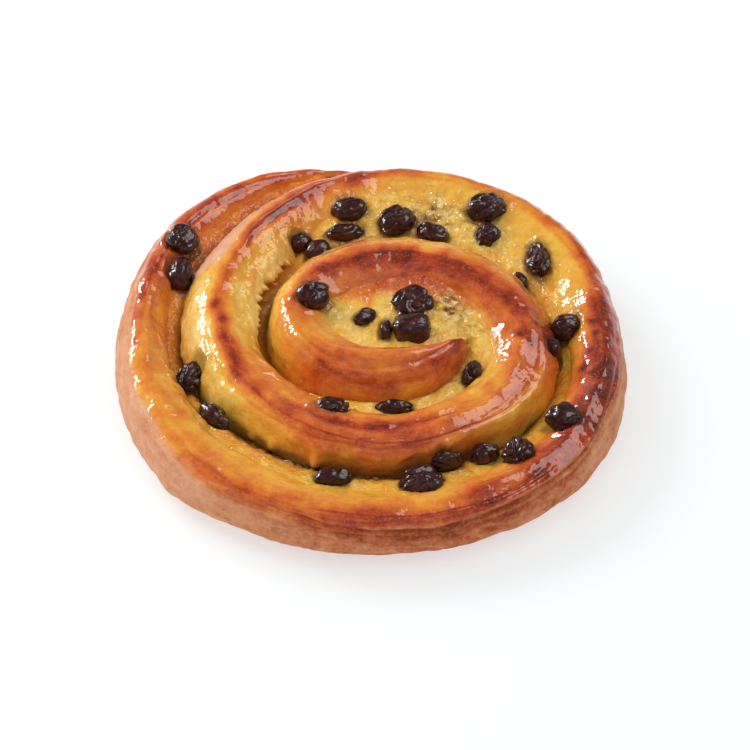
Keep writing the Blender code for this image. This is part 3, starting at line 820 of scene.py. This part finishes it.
class Strip:
    """The dough as a grid: rings of points along the strip, each point with its radius, its
    height and its way across the strip."""

    def __init__(self, places):
        self.angles, self.lengths = even_angles(TAIL_ANGLE, TIP_ANGLE, STRIP_STEP)
        self.radius, self.height, self.across = strip_profile(Sections(self.angles))
        self.tear_lip()
        self.push_flank()
        self.flat_share = self.flatten()
        self.points = on_rays(self.angles, self.radius, self.height)
        self.near = nearness(self.points, places)
        self.crumbly = self.stretch(TORN_ANGLES, LONG_FADE) * step_up(*CRUMBLY_WAYS, self.across)
        self.groove, self.seams = self.seam_relief()
        self.folds = self.fold_lines()
        self.streak = self.streaks(*STREAK_SIZE)

    def stretch(self, ends, fade):
        """1 between two angles and 0 beyond them, smooth over some degrees."""
        return window(ends, fade, self.angles)[:, None]

    def wander(self, layer):
        """Noise that changes along the strip only, with its feature size in degrees."""
        return layered(on_axis(self.angles), layer)[:, None]

    def ridges(self, rise, length, seed):
        """Sharp uneven ridges along the strip, from 0 between them."""
        points = on_axis(self.lengths)
        size = RIDGE_SIZE + RIDGE_CHANGE * bumps(points, length * RIDGE_SPREAD, seed + 1)
        lines = sharp_lines(points, length, seed, RIDGE_SHARPNESS)
        return (rise * size * lines)[:, None]

    def streaks(self, length, width):
        """Noise that is long along the strip and narrow across it."""
        rows = np.broadcast_to(self.lengths[:, None] / length, self.across.shape)
        ways = self.across * HALF_WIDTH / width
        return bumps(np.stack((rows, ways, 0.0 * ways), axis=2), 1.0, STREAK_SEED)

    def tear_lip(self):
        """Raises the inner lip over the void, undercuts it and gives it torn teeth."""
        torn = self.stretch(TORN_ANGLES, LONG_FADE)
        tooth = self.ridges(*TORN_TEETH) + self.ridges(*FINE_TEETH)
        tooth = tooth + layered(on_axis(self.lengths, axis=1), TORN_LOBES)[:, None]
        edge = bell((self.across + 1.0) / TOOTH_WIDTH)
        below = clamp(-1.0 - self.across)
        above = step_up(*RISING_WAYS, self.across)
        rise = np.where(self.across >= -1.0, above, clamp(1.0 - below / RISING_DEPTH))
        undercut = LIP_UNDERCUT * step_up(*UNDERCUT_WAYS, below)
        ragged = self.stretch(RAGGED_ANGLES, SHORT_FADE) * self.ridges(*RAGGED_TEETH)
        self.height = self.height + torn * TORN_RISE * rise
        self.radius = self.radius - torn * (tooth * edge - undercut)
        self.radius = self.radius + ragged * bell((self.across - 1.0) / RAGGED_WIDTH)

    def push_flank(self):
        """Pushes out the wavy skirt and the torn nibs of the outer flank."""
        reach = np.maximum(smooth(SKIRT, self.angles)[0], 0.0)
        wave = SKIRT_LEAST + self.ridges(*SKIRT_WAVES)
        level = SKIRT_PLACE + self.ridges(*SKIRT_SWING)
        push = reach * wave * bell((self.across - level) / SKIRT_WIDTH)
        for angle, place, half_length, half_way, rise in NIBS:
            off = (self.lengths - np.interp(angle, self.angles, self.lengths)) / half_length
            push += rise * bell(np.hypot(off[:, None], (self.across - place) / half_way))
        self.radius = self.radius + push

    def flatten(self):
        """Planes the shoulder towards its flat places, and says how flat each point is."""
        middle, level, amount = smooth(FLATS, self.angles)
        off = self.radius - middle
        share = clamp(amount) * (1.0 - step_up(*FLAT_REACH, np.abs(off)))
        share = share * (1.0 - step_up(*FLAT_WAYS, self.across)) * (self.across > -1.0)
        self.height = self.height + share * (level - FLAT_SLOPE * off - self.height)
        return share

    def seam_relief(self):
        """How far the seams lower the outer wall, and how dark they are."""
        place, depth = smooth(SEAM, self.angles)
        depth = np.maximum(depth, 0.0) * (SEAM_SIZE + self.wander(SEAM_CHANGE))
        off = self.across - place
        second = SECOND_SHARE * bell((off - SECOND_SEAM) / SEAM_WIDTH)
        lines = np.maximum(bell(off / SEAM_WIDTH), second)
        proud = step_up(0.0, SEAM_WIDTH * 2.0, off) * (1.0 - step_up(*PROUD_END, self.across))
        between = BETWEEN_TONE * window((0.0, SECOND_SEAM), BETWEEN_FADE, off)
        dark = np.maximum(lines, between) * depth * SEAM_TONE
        return depth * (lines - SEAM_STEP * proud), clamp(dark)

    def fold_lines(self):
        """How close each point is to one of the fine folds, from 0 to 1."""
        lines = np.zeros(self.across.shape)
        swing = self.wander(FOLD_SWING)
        for fold in FOLDS:
            place = smooth(fold, self.angles)[0] + swing
            inside = self.stretch((fold[0][0], fold[-1][0]), SHORT_FADE)
            lines = np.maximum(lines, inside * bell((self.across - place) / FOLD_WIDTH))
        return lines

    def lift(self):
        """How far its bumps, ripples, blisters, folds, seams and seats lift the dough."""
        points = self.points
        calm = 1.0 - FLAT_CALM * self.flat_share
        lift = layered(points, SWELLS) + layered(points, *LUMPS) * calm
        lift += layered(points, GRAIN) * (1.0 + CRUMB_GRAIN * self.crumbly)
        lift += RIPPLE_HEIGHT * self.streaks(*RIPPLE_SIZE)
        burnt = self.stretch(BURNT_ANGLES, SHORT_FADE)
        burnt = burnt * window(BURNT_WAYS, BURNT_FADE, self.across)
        lift += burnt * np.abs(layered(points, BLISTERS))
        lift -= FOLD_DEPTH * self.folds * (1.0 + self.wander(FOLD_CHANGE)) + self.groove
        seats = seat_rise(points, self.near, DOUGH_SEAT, DOUGH_SEAT_LUMPS)
        lift += seats * (self.across > SEAT_WAY)
        return lift * step_up(0.0, BOARD_FADE, self.height)

    def surface(self):
        """The points with their lift, none of them below the board."""
        points = self.points + grid_normals(self.points) * self.lift()[:, :, None]
        points[:, :, 2] = np.maximum(points[:, :, 2], 0.0)
        return points

    def browning(self):
        """How brown the crust is: its dark bands, and the paler dough beside them."""
        place, width, depth, inside, outside = smooth(BROWNING, self.angles)
        depth = depth + self.wander(DEPTH_ALONG) + layered(self.points, DEPTH_CHANGE)
        width = width * (1.0 + self.wander(WIDTH_CHANGE))
        shift = layered(self.points, BAND_SHIFT)
        off = (self.across - place + shift + STREAK_SHIFT * self.streak) / width
        rest = inside + (outside - inside) * step_up(*BESIDE_BAND, off)
        pale = PALE_SHARE * inside * step_up(*PALE_WAYS, self.across)
        brown = rest - pale + (depth - rest) * bell(off)
        place, width, depth = smooth(SECOND_BAND, self.angles)
        second = bell((self.across - place + shift * SECOND_SHIFT) / width)
        second = second * (depth > LEAST_BAND)
        return np.maximum(brown, brown + (depth - brown) * second)

    def mottling(self, brown):
        """The mottles, streaks, dark folds and caramel spots, as a change of browning."""
        blotch = clamp(self.streaks(*BLOTCH_SIZE) - BLOTCH_LEAST) * step_up(*BLOTCH_BAKE, brown)
        mottle = layered(self.points, *BAKE_MOTTLES) + STREAK_TONE * self.streak
        mottle += BLOTCH_TONE * blotch + FOLD_TONE * self.folds
        return mottle + spots(self.points, SPOTS) * (np.abs(self.across) < 1.0)

    def colour_fields(self, height):
        """The fields that colour the dough, over the grid with its final heights."""
        brown = self.browning()
        mottle = self.mottling(brown)
        edge, wall_brown = smooth(GLAZE_EDGE, self.angles)
        below = self.across - edge - layered(self.points, GLAZE_SWING)
        wall = step_up(0.0, GLAZE_FADE, below)
        rim = self.stretch(RIM_ANGLES, LONG_FADE) * window(RIM_WAYS, RIM_FADE, below)
        wall_brown = wall_brown + RIM_TONE * rim + WALL_MOTTLE * mottle + SEAM_BROWN * self.seams
        # The hidden inner side below the lip is painted with shade
        hidden = step_up(*HIDDEN_WAYS, self.across)
        bare = (1.0 - hidden) * (1.0 - CRUMB_MATTE * self.crumbly)
        brown, foam = self.custard_tone(clamp(brown + mottle), height)
        stain_and_shade = self.near * (self.across > STAIN_WAY)
        return {
            "bake": brown,
            "foam": foam,
            "wall": wall * (1.0 - RIM_CRUST * rim),
            "wall_bake": clamp(wall_brown),
            "crumb": self.crumbly,
            # Real brown stains round the drops, with painted shade at the foot in the crevice
            "stain_and_shade": np.maximum(stain_and_shade, self.painted_foot_shade(height)),
            "hidden": hidden,
            "glaze": (1.0 - wall + RIM_GLAZE * rim) * bare,
            "along": np.broadcast_to(self.lengths[:, None], stain_and_shade.shape) * MM / STREAK_STRETCH,
            "across": self.across * HALF_WIDTH * MM,
        }

    def custard_tone(self, bake, height):
        """The browning and foam with the custard's tone just above it on the inner side."""
        level = smooth(FILL, self.angles)[0]
        brown, foam, rise = smooth(EDGE_TONES, self.angles)[:3]
        share = (1.0 - step_up(TONE_START, rise, height - level)) * (self.across < TONE_WAY)
        share = share * (1.0 - self.stretch(OPEN_ANGLES, OPEN_FADE))
        share = share * step_up(*TONE_WAYS, self.across)
        return bake + share * (brown - bake) * TONE_SHARE, clamp(foam) * share

    def painted_foot_shade(self, height):
        """How much painted shade darkens the outer side where it goes down into the crevice."""
        level = smooth(FILL, self.angles - FULL_TURN)[1]
        foot = 1.0 - step_up(*FOOT_RISE, height - level)
        return foot * self.stretch(FOOT_ANGLES, LONG_FADE) * (self.across > FOOT_WAY)


def rounded_end(ring, towards, steps, reach):
    """Rings that close an end of the strip in a round nose."""
    middle = ring.mean(axis=0)
    rings = []
    for k in range(1, steps + 1):
        turn = QUARTER_TURN * k / steps
        shrink = max(math.cos(turn), LEAST_RING)
        rings.append(middle + (ring - middle) * shrink + towards * reach * math.sin(turn))
        rings[-1][:, 2] = np.maximum(rings[-1][:, 2], 0.0)
    return np.array(rings)


def mesh_piece(name, points, faces, fields, pole, material):
    """A smooth-shaded piece from points about the pole, with a field at each point."""
    mesh = bpy.data.meshes.new(name)
    mesh.from_pydata(((points + pole) * MM).tolist(), [], faces)
    for field, values in fields.items():
        layer = mesh.attributes.new(field, "FLOAT", "POINT")
        layer.data.foreach_set("value", np.asarray(values, dtype=np.float32))
    mesh.validate()
    mesh.shade_smooth()
    mesh.materials.append(material)
    piece = bpy.data.objects.new(name, mesh)
    bpy.context.scene.collection.objects.link(piece)
    return piece


def ring_faces(rings, around):
    """Faces between rings of points, with a face over each end."""
    index = np.arange(rings * around).reshape(rings, around)
    turned = np.roll(index, -1, axis=1)
    quads = np.stack((index[:-1], index[1:], turned[1:], turned[:-1]), axis=2)
    faces = quads.reshape(-1, 4).tolist()
    faces.append(index[0].tolist())
    faces.append(index[-1][::-1].tolist())
    return faces


def ring_piece(name, points, fields, margins, pole, material):
    """A piece from rings of points. The margins are the rings at each end and the points at
    each side that the fields don't have yet, and that take the values next to them."""
    flat = {field: np.pad(values, margins, "edge").ravel() for field, values in fields.items()}
    faces = ring_faces(*points.shape[:2])
    return mesh_piece(name, points.reshape(-1, 3), faces, flat, pole, material)


def make_dough(places, pole, material):
    """The whole strip of dough."""
    strip = Strip(places)
    points = strip.surface()
    fields = strip.colour_fields(points[:, :, 2])
    ends = np.radians((strip.angles[0], strip.angles[-1]))
    back = np.array((math.sin(ends[0]), -math.cos(ends[0]), 0.0))
    ahead = np.array((-math.sin(ends[1]), math.cos(ends[1]), 0.0))
    tail = rounded_end(points[0], back, *TAIL_END)[::-1]
    tip = rounded_end(points[-1], ahead, *TIP_END)
    points = np.concatenate((tail, points, tip))
    margins = ((len(tail), len(tip)), (0, 0))
    return ring_piece("dough", points, fields, margins, pole, material)


def inside_edge(angles, level, rise, bite):
    """The custard's edge a little way into the strip's inner side."""
    return on_rays(angles, Sections(angles).inner_side(level + rise) + bite, level)


def outside_edge(angles, level):
    """The custard's edge a little way into the strip's outer side, above its waist."""
    cut = Sections(angles)
    level = np.maximum(level, cut.waist + ABOVE_WAIST)
    return on_rays(angles, cut.outer_side(level) - BITE, level)


def custard_rims():
    """The custard's two rims, how much it crowns between them and the outer turn's angle,
    ring by ring: along the gap, round the strip's tip and back along the pool."""
    inner = even_angles(FILL_START + FULL_TURN, TIP_ANGLE - 1.0, CUSTARD_STEP)[0]
    back = inner[inner >= POOL_RETURN][::-1]
    outer_back = np.interp(-back, (-back[0], -back[-1]), (POOL_START, POOL_END))
    turns = np.concatenate((inner - FULL_TURN, (NOSE_TURN,), outer_back))
    high, low = smooth(FILL, turns)
    start = inside_edge(turns, high, smooth(EDGE_TONES, turns)[4], RIM_BITE)
    low, nose_low, back_low = np.split(low, (len(inner), len(inner) + 1))
    tip = Sections((TIP_ANGLE,))
    nose = on_rays((NOSE_ANGLE,), tip.crest, nose_low)
    end = np.concatenate((outside_edge(inner, low), nose, inside_edge(back, back_low, 0.0, BITE)))
    last = math.radians(POOL_END + POOL_RETURN) / 2.0
    buried = np.array((math.cos(last), math.sin(last), 0.0)) * BURIED
    start = np.concatenate((start, start[-1:] + buried))
    end = np.concatenate((end, end[-1:] + buried))
    crowns = np.repeat((CROWN, POOL_CROWN, CROWN), (len(inner) + 1, len(back), 1))
    return start, end, crowns[:, None], np.append(turns, POOL_END)


class CustardTop:
    """The custard's top as a grid: rings of points from the outer turn to the next one."""

    def __init__(self, places):
        start, end, crowns, self.turns = custard_rims()
        share = np.linspace(0.0, 1.0, CUSTARD_ROWS)[None, :]
        gap = np.linalg.norm(end - start, axis=2)
        self.points = start + (end - start) * share[:, :, None]
        self.points[:, :, 2] += crowns * np.sin(math.pi * share)
        self.near = nearness(self.points, places)
        self.crevice_depth, width = smooth(CREVICE, self.turns)
        self.crevice = bell((1.0 - share) * gap / width)
        brown, foam = smooth(CUSTARD_TONES, self.turns)
        rim_brown, rim_foam, _, width, self.rim_rise = smooth(EDGE_TONES, self.turns)
        self.way = share * gap / (width * (1.0 + layered(self.points, RIM_RAGGED)))
        blend = 1.0 - step_up(*RIM_BLEND, self.way)
        self.brown = brown + (rim_brown - brown) * blend
        self.foam = foam + (rim_foam - foam) * blend

    def lift(self):
        """How far its lumps, pits, rim, crevice, crumbs and seats lift the custard."""
        points = self.points
        lift = layered(points, *CUSTARD_LUMPS) + np.abs(layered(points, CURDS))
        lift += self.foam * (layered(points, FOAM_GRAIN) + np.abs(layered(points, FOAM_CURDS)))
        lift -= self.foam * PIT_DEPTH * clamp(layered(points, PITS) - PIT_LEAST)
        lift += self.rim_rise * (1.0 - clamp(self.way)) ** 2 - self.crevice_depth * self.crevice
        crumbs = window(CRUMB_ANGLES, SHORT_FADE, self.turns)[:, None] * self.crevice
        lift += crumbs * (CRUMB_HEIGHT + np.abs(layered(points, CRUMBS)))
        return lift + seat_rise(points, self.near, CUSTARD_SEAT, CUSTARD_SEAT_LUMPS)

    def colour_fields(self):
        """The fields that colour the custard, over the grid."""
        points = self.points
        patches = FOAM_SIZE + layered(points, FOAM_PATCHES)
        clear = spots(points, CLEAR_SPOTS) * (CLEAR_SIZE + layered(points, CLEAR_CHANGE))
        in_void = window(VOID_ANGLES, VOID_FADE, self.turns)[:, None]
        # Painted shade, darker the lower the custard lies
        painted_depth_shade = clamp((DEEP_LEVEL - points[:, :, 2]) / DEEP_FADE)
        return {
            "bake": clamp(self.brown + layered(points, *CUSTARD_MOTTLES)),
            "foam": clamp(self.foam * patches),
            "clear": clamp(clear),
            "stain_and_shade": self.near,
            "painted_depth_shade": painted_depth_shade * (OUT_OF_VOID + (1.0 - OUT_OF_VOID) * in_void),
            # Painted shade in the crevice, darker where it is cut lower
            "crevice": clamp(self.crevice * self.crevice_depth / DARKEST_SHADE_DEPTH),
        }


def make_custard(places, pole, material):
    """The custard in the gap and the pool."""
    custard = CustardTop(places)
    top = custard.points
    top[:, :, 2] += custard.lift()
    foot = top[:, (0, -1)]
    foot[:, :, 2] = CUSTARD_FOOT
    points = np.concatenate((foot[:, :1], top, foot[:, 1:]), axis=1)
    fields = custard.colour_fields()
    return ring_piece("custard", points, fields, ((0, 0), (1, 1)), pole, material)


def unit_ball():
    """The points and faces of a ball of radius 1."""
    ball = bmesh.new()
    bmesh.ops.create_icosphere(ball, subdivisions=DROP_SUBDIVISIONS, radius=1.0)
    points = np.array([vertex.co[:] for vertex in ball.verts])
    faces = [[vertex.index for vertex in face.verts] for face in ball.faces]
    ball.free()
    return points, faces


def wrinkle(local, fold_size, number):
    """How deep the folds and creases of a drop's skin are."""
    long_ways = local * np.array(FOLD_SQUASH)
    fold = sharp_lines(long_ways, fold_size, FOLD_SEED + number, FOLD_SHARPNESS)
    crease_size = fold_size * CREASE_SIZE
    crease = sharp_lines(long_ways, crease_size, CREASE_SEED + number, CREASE_SHARPNESS)
    return DROP_FOLD * fold ** FOLD_POWER + DROP_CREASE * crease


def make_drop(place, number, ball, pole, material):
    """One wrinkled drop in the place of its solid."""
    name, middle, axes, halves, half_height = place
    depth, square, fold_size, growth = DROP_LOOKS.get(number, PLAIN_DROP)
    unit, faces = ball
    power = (np.abs(unit) ** square).sum(axis=1, keepdims=True) ** (1.0 / square)
    size = np.array((*halves, half_height)) * growth
    local = unit / power * size
    lump = DROP_LUMP * bumps(unit, LUMP_SIZE, LUMP_SEED + number)
    change = 1.0 + lump - wrinkle(local, fold_size, number) * depth / size.min()
    local = local * change[:, None]
    points = np.column_stack((local[:, :2] @ axes.T, local[:, 2])) + middle
    return mesh_piece(name.replace("drop", "raisin"), points, faces, {}, pole, material)


def feed(socket, value):
    """Sets a socket to a plain value, or links another socket to it."""
    if isinstance(value, (float, tuple)):
        socket.default_value = value
    else:
        socket.id_data.links.new(value, socket)


def new_node(tree, kind, values):
    """A node with its inputs fed by name."""
    node = tree.nodes.new(kind)
    for name, value in values.items():
        feed(node.inputs[name], value)
    return node


def new_material(name, settings):
    """A material with its tree, its shader and the object's own coordinates."""
    material = bpy.data.materials.new(name)
    material.use_nodes = True
    tree = material.node_tree
    shader = tree.nodes["Principled BSDF"]
    for setting, value in settings.items():
        shader.inputs[setting].default_value = value
    coordinates = new_node(tree, "ShaderNodeTexCoord", {}).outputs["Object"]
    return material, tree, shader, coordinates


def reckon(tree, operation, *values):
    """A sum, product or other reckoning of numbers."""
    node = tree.nodes.new("ShaderNodeMath")
    node.operation = operation
    for socket, value in zip(node.inputs, values):
        feed(socket, value)
    return node.outputs["Value"]


def field(tree, name):
    """A field of the mesh as a number."""
    node = tree.nodes.new("ShaderNodeAttribute")
    node.attribute_name = name
    return node.outputs["Fac"]


def share_of(tree, name, share):
    """A share of a field of the mesh."""
    return reckon(tree, "MULTIPLY", field(tree, name), share)


def speckle(tree, coordinates, size, detail, roughness):
    """Noise with features of a size in millimetres, from 0 to 1."""
    values = {
        "Vector": coordinates,
        "Scale": 1.0 / (size * MM),
        "Detail": detail,
        "Roughness": roughness,
    }
    return new_node(tree, "ShaderNodeTexNoise", values).outputs["Fac"]


def uneven(tree, coordinates, pattern, onto):
    """A number made uneven by a speckle, of which the pattern gives the share first."""
    share, *speckles = pattern
    centred = reckon(tree, "SUBTRACT", speckle(tree, coordinates, *speckles), 0.5)
    return reckon(tree, "MULTIPLY_ADD", centred, share, onto)


def ramp(tree, value, stops):
    """Colours along a number from 0 to 1."""
    node = new_node(tree, "ShaderNodeValToRGB", {"Fac": value})
    scale = node.color_ramp
    while len(scale.elements) < len(stops):
        scale.elements.new(0.5)
    for element, (place, colour) in zip(scale.elements, stops):
        element.position = place
        element.color = colour
    return node.outputs["Color"]


def cover(tree, colour, layers):
    """A colour under layers of other colours, each layer with its share."""
    for share, over in layers:
        node = tree.nodes.new("ShaderNodeMix")
        node.data_type = "RGBA"
        factor, first, second = (node.inputs[place] for place in COLOUR_SOCKETS)
        feed(factor, share)
        feed(first, colour)
        feed(second, over)
        colour = node.outputs[COLOUR_RESULT]
    return colour


def relief(tree, coordinates, pattern, strength, under=None):
    """Small relief from a speckle, of which the pattern gives the depth first."""
    depth, *speckles = pattern
    height = speckle(tree, coordinates, *speckles)
    values = {"Height": height, "Distance": depth * MM, "Strength": strength}
    if under is not None:
        values["Normal"] = under
    return new_node(tree, "ShaderNodeBump", values).outputs["Normal"]


def dough_colour(tree, place):
    """Crust over its crumb, the matte wall, and the stains, painted shade and painted glint
    specks on them.
    """
    ways = {"X": field(tree, "along"), "Y": field(tree, "across")}
    strip = new_node(tree, "ShaderNodeCombineXYZ", ways).outputs["Vector"]
    change = uneven(tree, place, PORES, uneven(tree, place, MOTTLES, 0.0))
    change = uneven(tree, strip, STREAKS, change)
    crust = ramp(tree, reckon(tree, "ADD", field(tree, "bake"), change), CRUST_COLOURS)
    wall_brown = reckon(tree, "MULTIPLY_ADD", change, WALL_CHANGE, field(tree, "wall_bake"))
    # Foam colour, its whitest speckles painted glints
    foam = ramp(tree, speckle(tree, place, *FOAM), FOAM_AND_GLINT_COLOURS)
    return cover(tree, crust, (
        (field(tree, "foam"), foam),
        (field(tree, "wall"), ramp(tree, wall_brown, WALL_COLOURS)),
        (field(tree, "crumb"), CRUMB_COLOUR),
        # Painted shade on the hidden inner side
        (share_of(tree, "hidden", HIDDEN_SHADE_SHARE), VOID_SHADE_COLOUR),
        # Painted glints as pale specks
        (ramp(tree, speckle(tree, place, *PAINTED_GLINTS), PAINTED_GLINT_SHARES), PAINTED_GLINT_COLOUR),
        # Stains round the drops, and painted shade at the foot in the crevice
        (share_of(tree, "stain_and_shade", DOUGH_STAIN_AND_SHADE), STAIN_AND_SHADE_COLOUR),
    ))


def dough_material():
    """Baked dough, from pale crumb to dark crust, glazed on top and matte on the wall."""
    material, tree, shader, place = new_material("baked_dough_glazed", DOUGH_SHADER)
    feed(shader.inputs["Base Color"], dough_colour(tree, place))
    feed(shader.inputs["Coat Weight"], field(tree, "glaze"))
    pale = reckon(tree, "SUBTRACT", 1.0, field(tree, "bake"))
    pale = reckon(tree, "POWER", pale, MOIST_POWER)
    moist = reckon(tree, "MULTIPLY_ADD", pale, *MOIST_RANGE)
    beads = relief(tree, place, SOFT_BEADS, moist)
    feed(shader.inputs["Normal"], relief(tree, place, MATTE_GRAIN, 1.0, beads))
    beads = relief(tree, place, CRISP_BEADS, moist)
    wavy = reckon(tree, "MULTIPLY_ADD", moist, *WAVE_RANGE)
    feed(shader.inputs["Coat Normal"], relief(tree, place, WAVES, wavy, beads))
    return material


def custard_material():
    """Set custard: bumpy, moist, paler on its lumps and brown where it is thin, with painted
    shade low in the gap and in the crevice and painted glints in its foam.
    """
    material, tree, shader, place = new_material("set_custard", CUSTARD_SHADER)
    brown = uneven(tree, place, CUSTARD_SPECKLE, field(tree, "bake"))
    # Foam colour, its whitest speckles painted glints
    foam = ramp(tree, speckle(tree, place, *FOAM), FOAM_AND_GLINT_COLOURS)
    clear = ramp(tree, speckle(tree, place, *CLEAR_SPECKLE), CLEAR_COLOURS)
    colour = cover(tree, ramp(tree, brown, CRUST_COLOURS), (
        (field(tree, "foam"), foam),
        (field(tree, "clear"), clear),
        # Painted shade low in the gap
        (field(tree, "painted_depth_shade"), VOID_SHADE_COLOUR),
        # Painted shade in the crevice
        (field(tree, "crevice"), CREVICE_SHADE_COLOUR),
        (share_of(tree, "stain_and_shade", CUSTARD_STAIN), STAIN_AND_SHADE_COLOUR),
    ))
    feed(shader.inputs["Base Color"], colour)
    feed(shader.inputs["Normal"], relief(tree, place, CUSTARD_BEADS, 1.0))
    feed(shader.inputs["Coat Normal"], relief(tree, place, CUSTARD_GLOSS, 1.0))
    return material


def drop_material():
    """A glossy, near-black skin with brown in its thin places."""
    material, tree, shader, place = new_material("dark_drop_skin", DROP_SHADER)
    colour = ramp(tree, speckle(tree, place, *DROP_SPECKLE), DROP_COLOURS)
    feed(shader.inputs["Base Color"], colour)
    feed(shader.inputs["Normal"], relief(tree, place, DROP_SKIN, DROP_STRENGTH))
    feed(shader.inputs["Coat Normal"], relief(tree, place, DROP_GLOSS, DROP_STRENGTH))
    return material


def make_floor():
    """The pale floor under the pastry."""
    bpy.ops.mesh.primitive_plane_add(size=FLOOR_SIZE)
    floor = bpy.context.object
    floor.name = "floor"
    floor.location.z = -FLOOR_GAP
    floor.data.materials.append(new_material("pale_floor", FLOOR_SHADER)[0])


def make_light(name, direction, distance, size, brightness, colour, on_matte, in_gloss):
    """An area light that faces the pastry from a direction."""
    light = bpy.data.lights.new(name, "AREA")
    light.shape = "RECTANGLE"
    light.size, light.size_y = size
    light.energy = brightness * math.pi * light.size * light.size_y
    light.color = colour
    lamp = bpy.data.objects.new(name, light)
    towards = Vector(direction).normalized()
    lamp.location = towards * distance
    lamp.rotation_mode = "QUATERNION"
    lamp.rotation_quaternion = towards.to_track_quat("Z", "Y")
    lamp.visible_diffuse = on_matte
    lamp.visible_glossy = in_gloss
    bpy.context.scene.collection.objects.link(lamp)


def make_world():
    """An even white surround, dimmer overhead in what gloss reflects."""
    world = bpy.data.worlds.new("studio")
    bpy.context.scene.world = world
    world.use_nodes = True
    tree = world.node_tree
    background = tree.nodes["Background"]
    feed(background.inputs["Color"], (1.0, 1.0, 1.0, 1.0))
    direction = new_node(tree, "ShaderNodeTexCoord", {}).outputs["Generated"]
    apart = new_node(tree, "ShaderNodeSeparateXYZ", {"Vector": direction})
    gloss = new_node(tree, "ShaderNodeMapRange", {"Value": apart.outputs["Z"], **GLOSS_SURROUND})
    path = new_node(tree, "ShaderNodeLightPath", {})
    values = {
        "Factor": path.outputs["Is Glossy Ray"],
        "A": SURROUND,
        "B": gloss.outputs["Result"],
    }
    choose = new_node(tree, "ShaderNodeMix", values)
    feed(background.inputs["Strength"], choose.outputs["Result"])


def make_camera(pole):
    """A long lens far off, which shows the pastry as nearly parallel as the photo does."""
    data = bpy.data.cameras.new("camera")
    data.sensor_width = SENSOR_WIDTH
    data.lens = data.sensor_width * CAMERA_DISTANCE / (PICTURE_HEIGHT * MM)
    data.clip_start, data.clip_end = CAMERA_CLIP
    camera = bpy.data.objects.new("camera", data)
    elevation = math.radians(CAMERA_ELEVATION)
    back = Vector((0.0, -math.cos(elevation), math.sin(elevation)))
    up = Vector((0.0, math.sin(elevation), math.cos(elevation)))
    pixel = PICTURE_HEIGHT / PIXELS * MM
    target = Vector((np.array(CAMERA_TARGET) + pole) * MM)
    target += Vector((PIXELS / 2 - TARGET_PIXEL[0], 0.0, 0.0)) * pixel
    target += up * (TARGET_PIXEL[1] - PIXELS / 2) * pixel
    camera.location = target + back * CAMERA_DISTANCE
    camera.rotation_euler = (QUARTER_TURN - elevation, 0.0, 0.0)
    bpy.context.scene.collection.objects.link(camera)
    bpy.context.scene.camera = camera


def settle(piece, node):
    """Puts a piece in a solid's place: on the body, with the solid hidden."""
    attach(piece, "root")
    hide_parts(node)


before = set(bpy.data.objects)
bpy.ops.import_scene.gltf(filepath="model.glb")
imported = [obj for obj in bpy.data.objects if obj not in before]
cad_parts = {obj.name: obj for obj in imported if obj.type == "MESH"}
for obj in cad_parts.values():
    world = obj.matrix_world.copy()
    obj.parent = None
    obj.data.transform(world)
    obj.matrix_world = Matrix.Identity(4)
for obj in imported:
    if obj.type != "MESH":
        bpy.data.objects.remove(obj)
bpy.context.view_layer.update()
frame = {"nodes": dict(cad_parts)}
pole = pole_place()
places = drop_places(frame, pole)
settle(make_dough(places, pole, dough_material()), "dough_coil")
settle(make_custard(places, pole, custard_material()), "custard_filling")
skin = drop_material()
ball = unit_ball()
for number, place in enumerate(places, start=1):
    settle(make_drop(place, number, ball, pole, skin), place[0])
make_floor()
for light in LIGHTS:
    make_light(*light)
make_world()
make_camera(pole)
bpy.context.scene.view_settings.view_transform = "Standard"
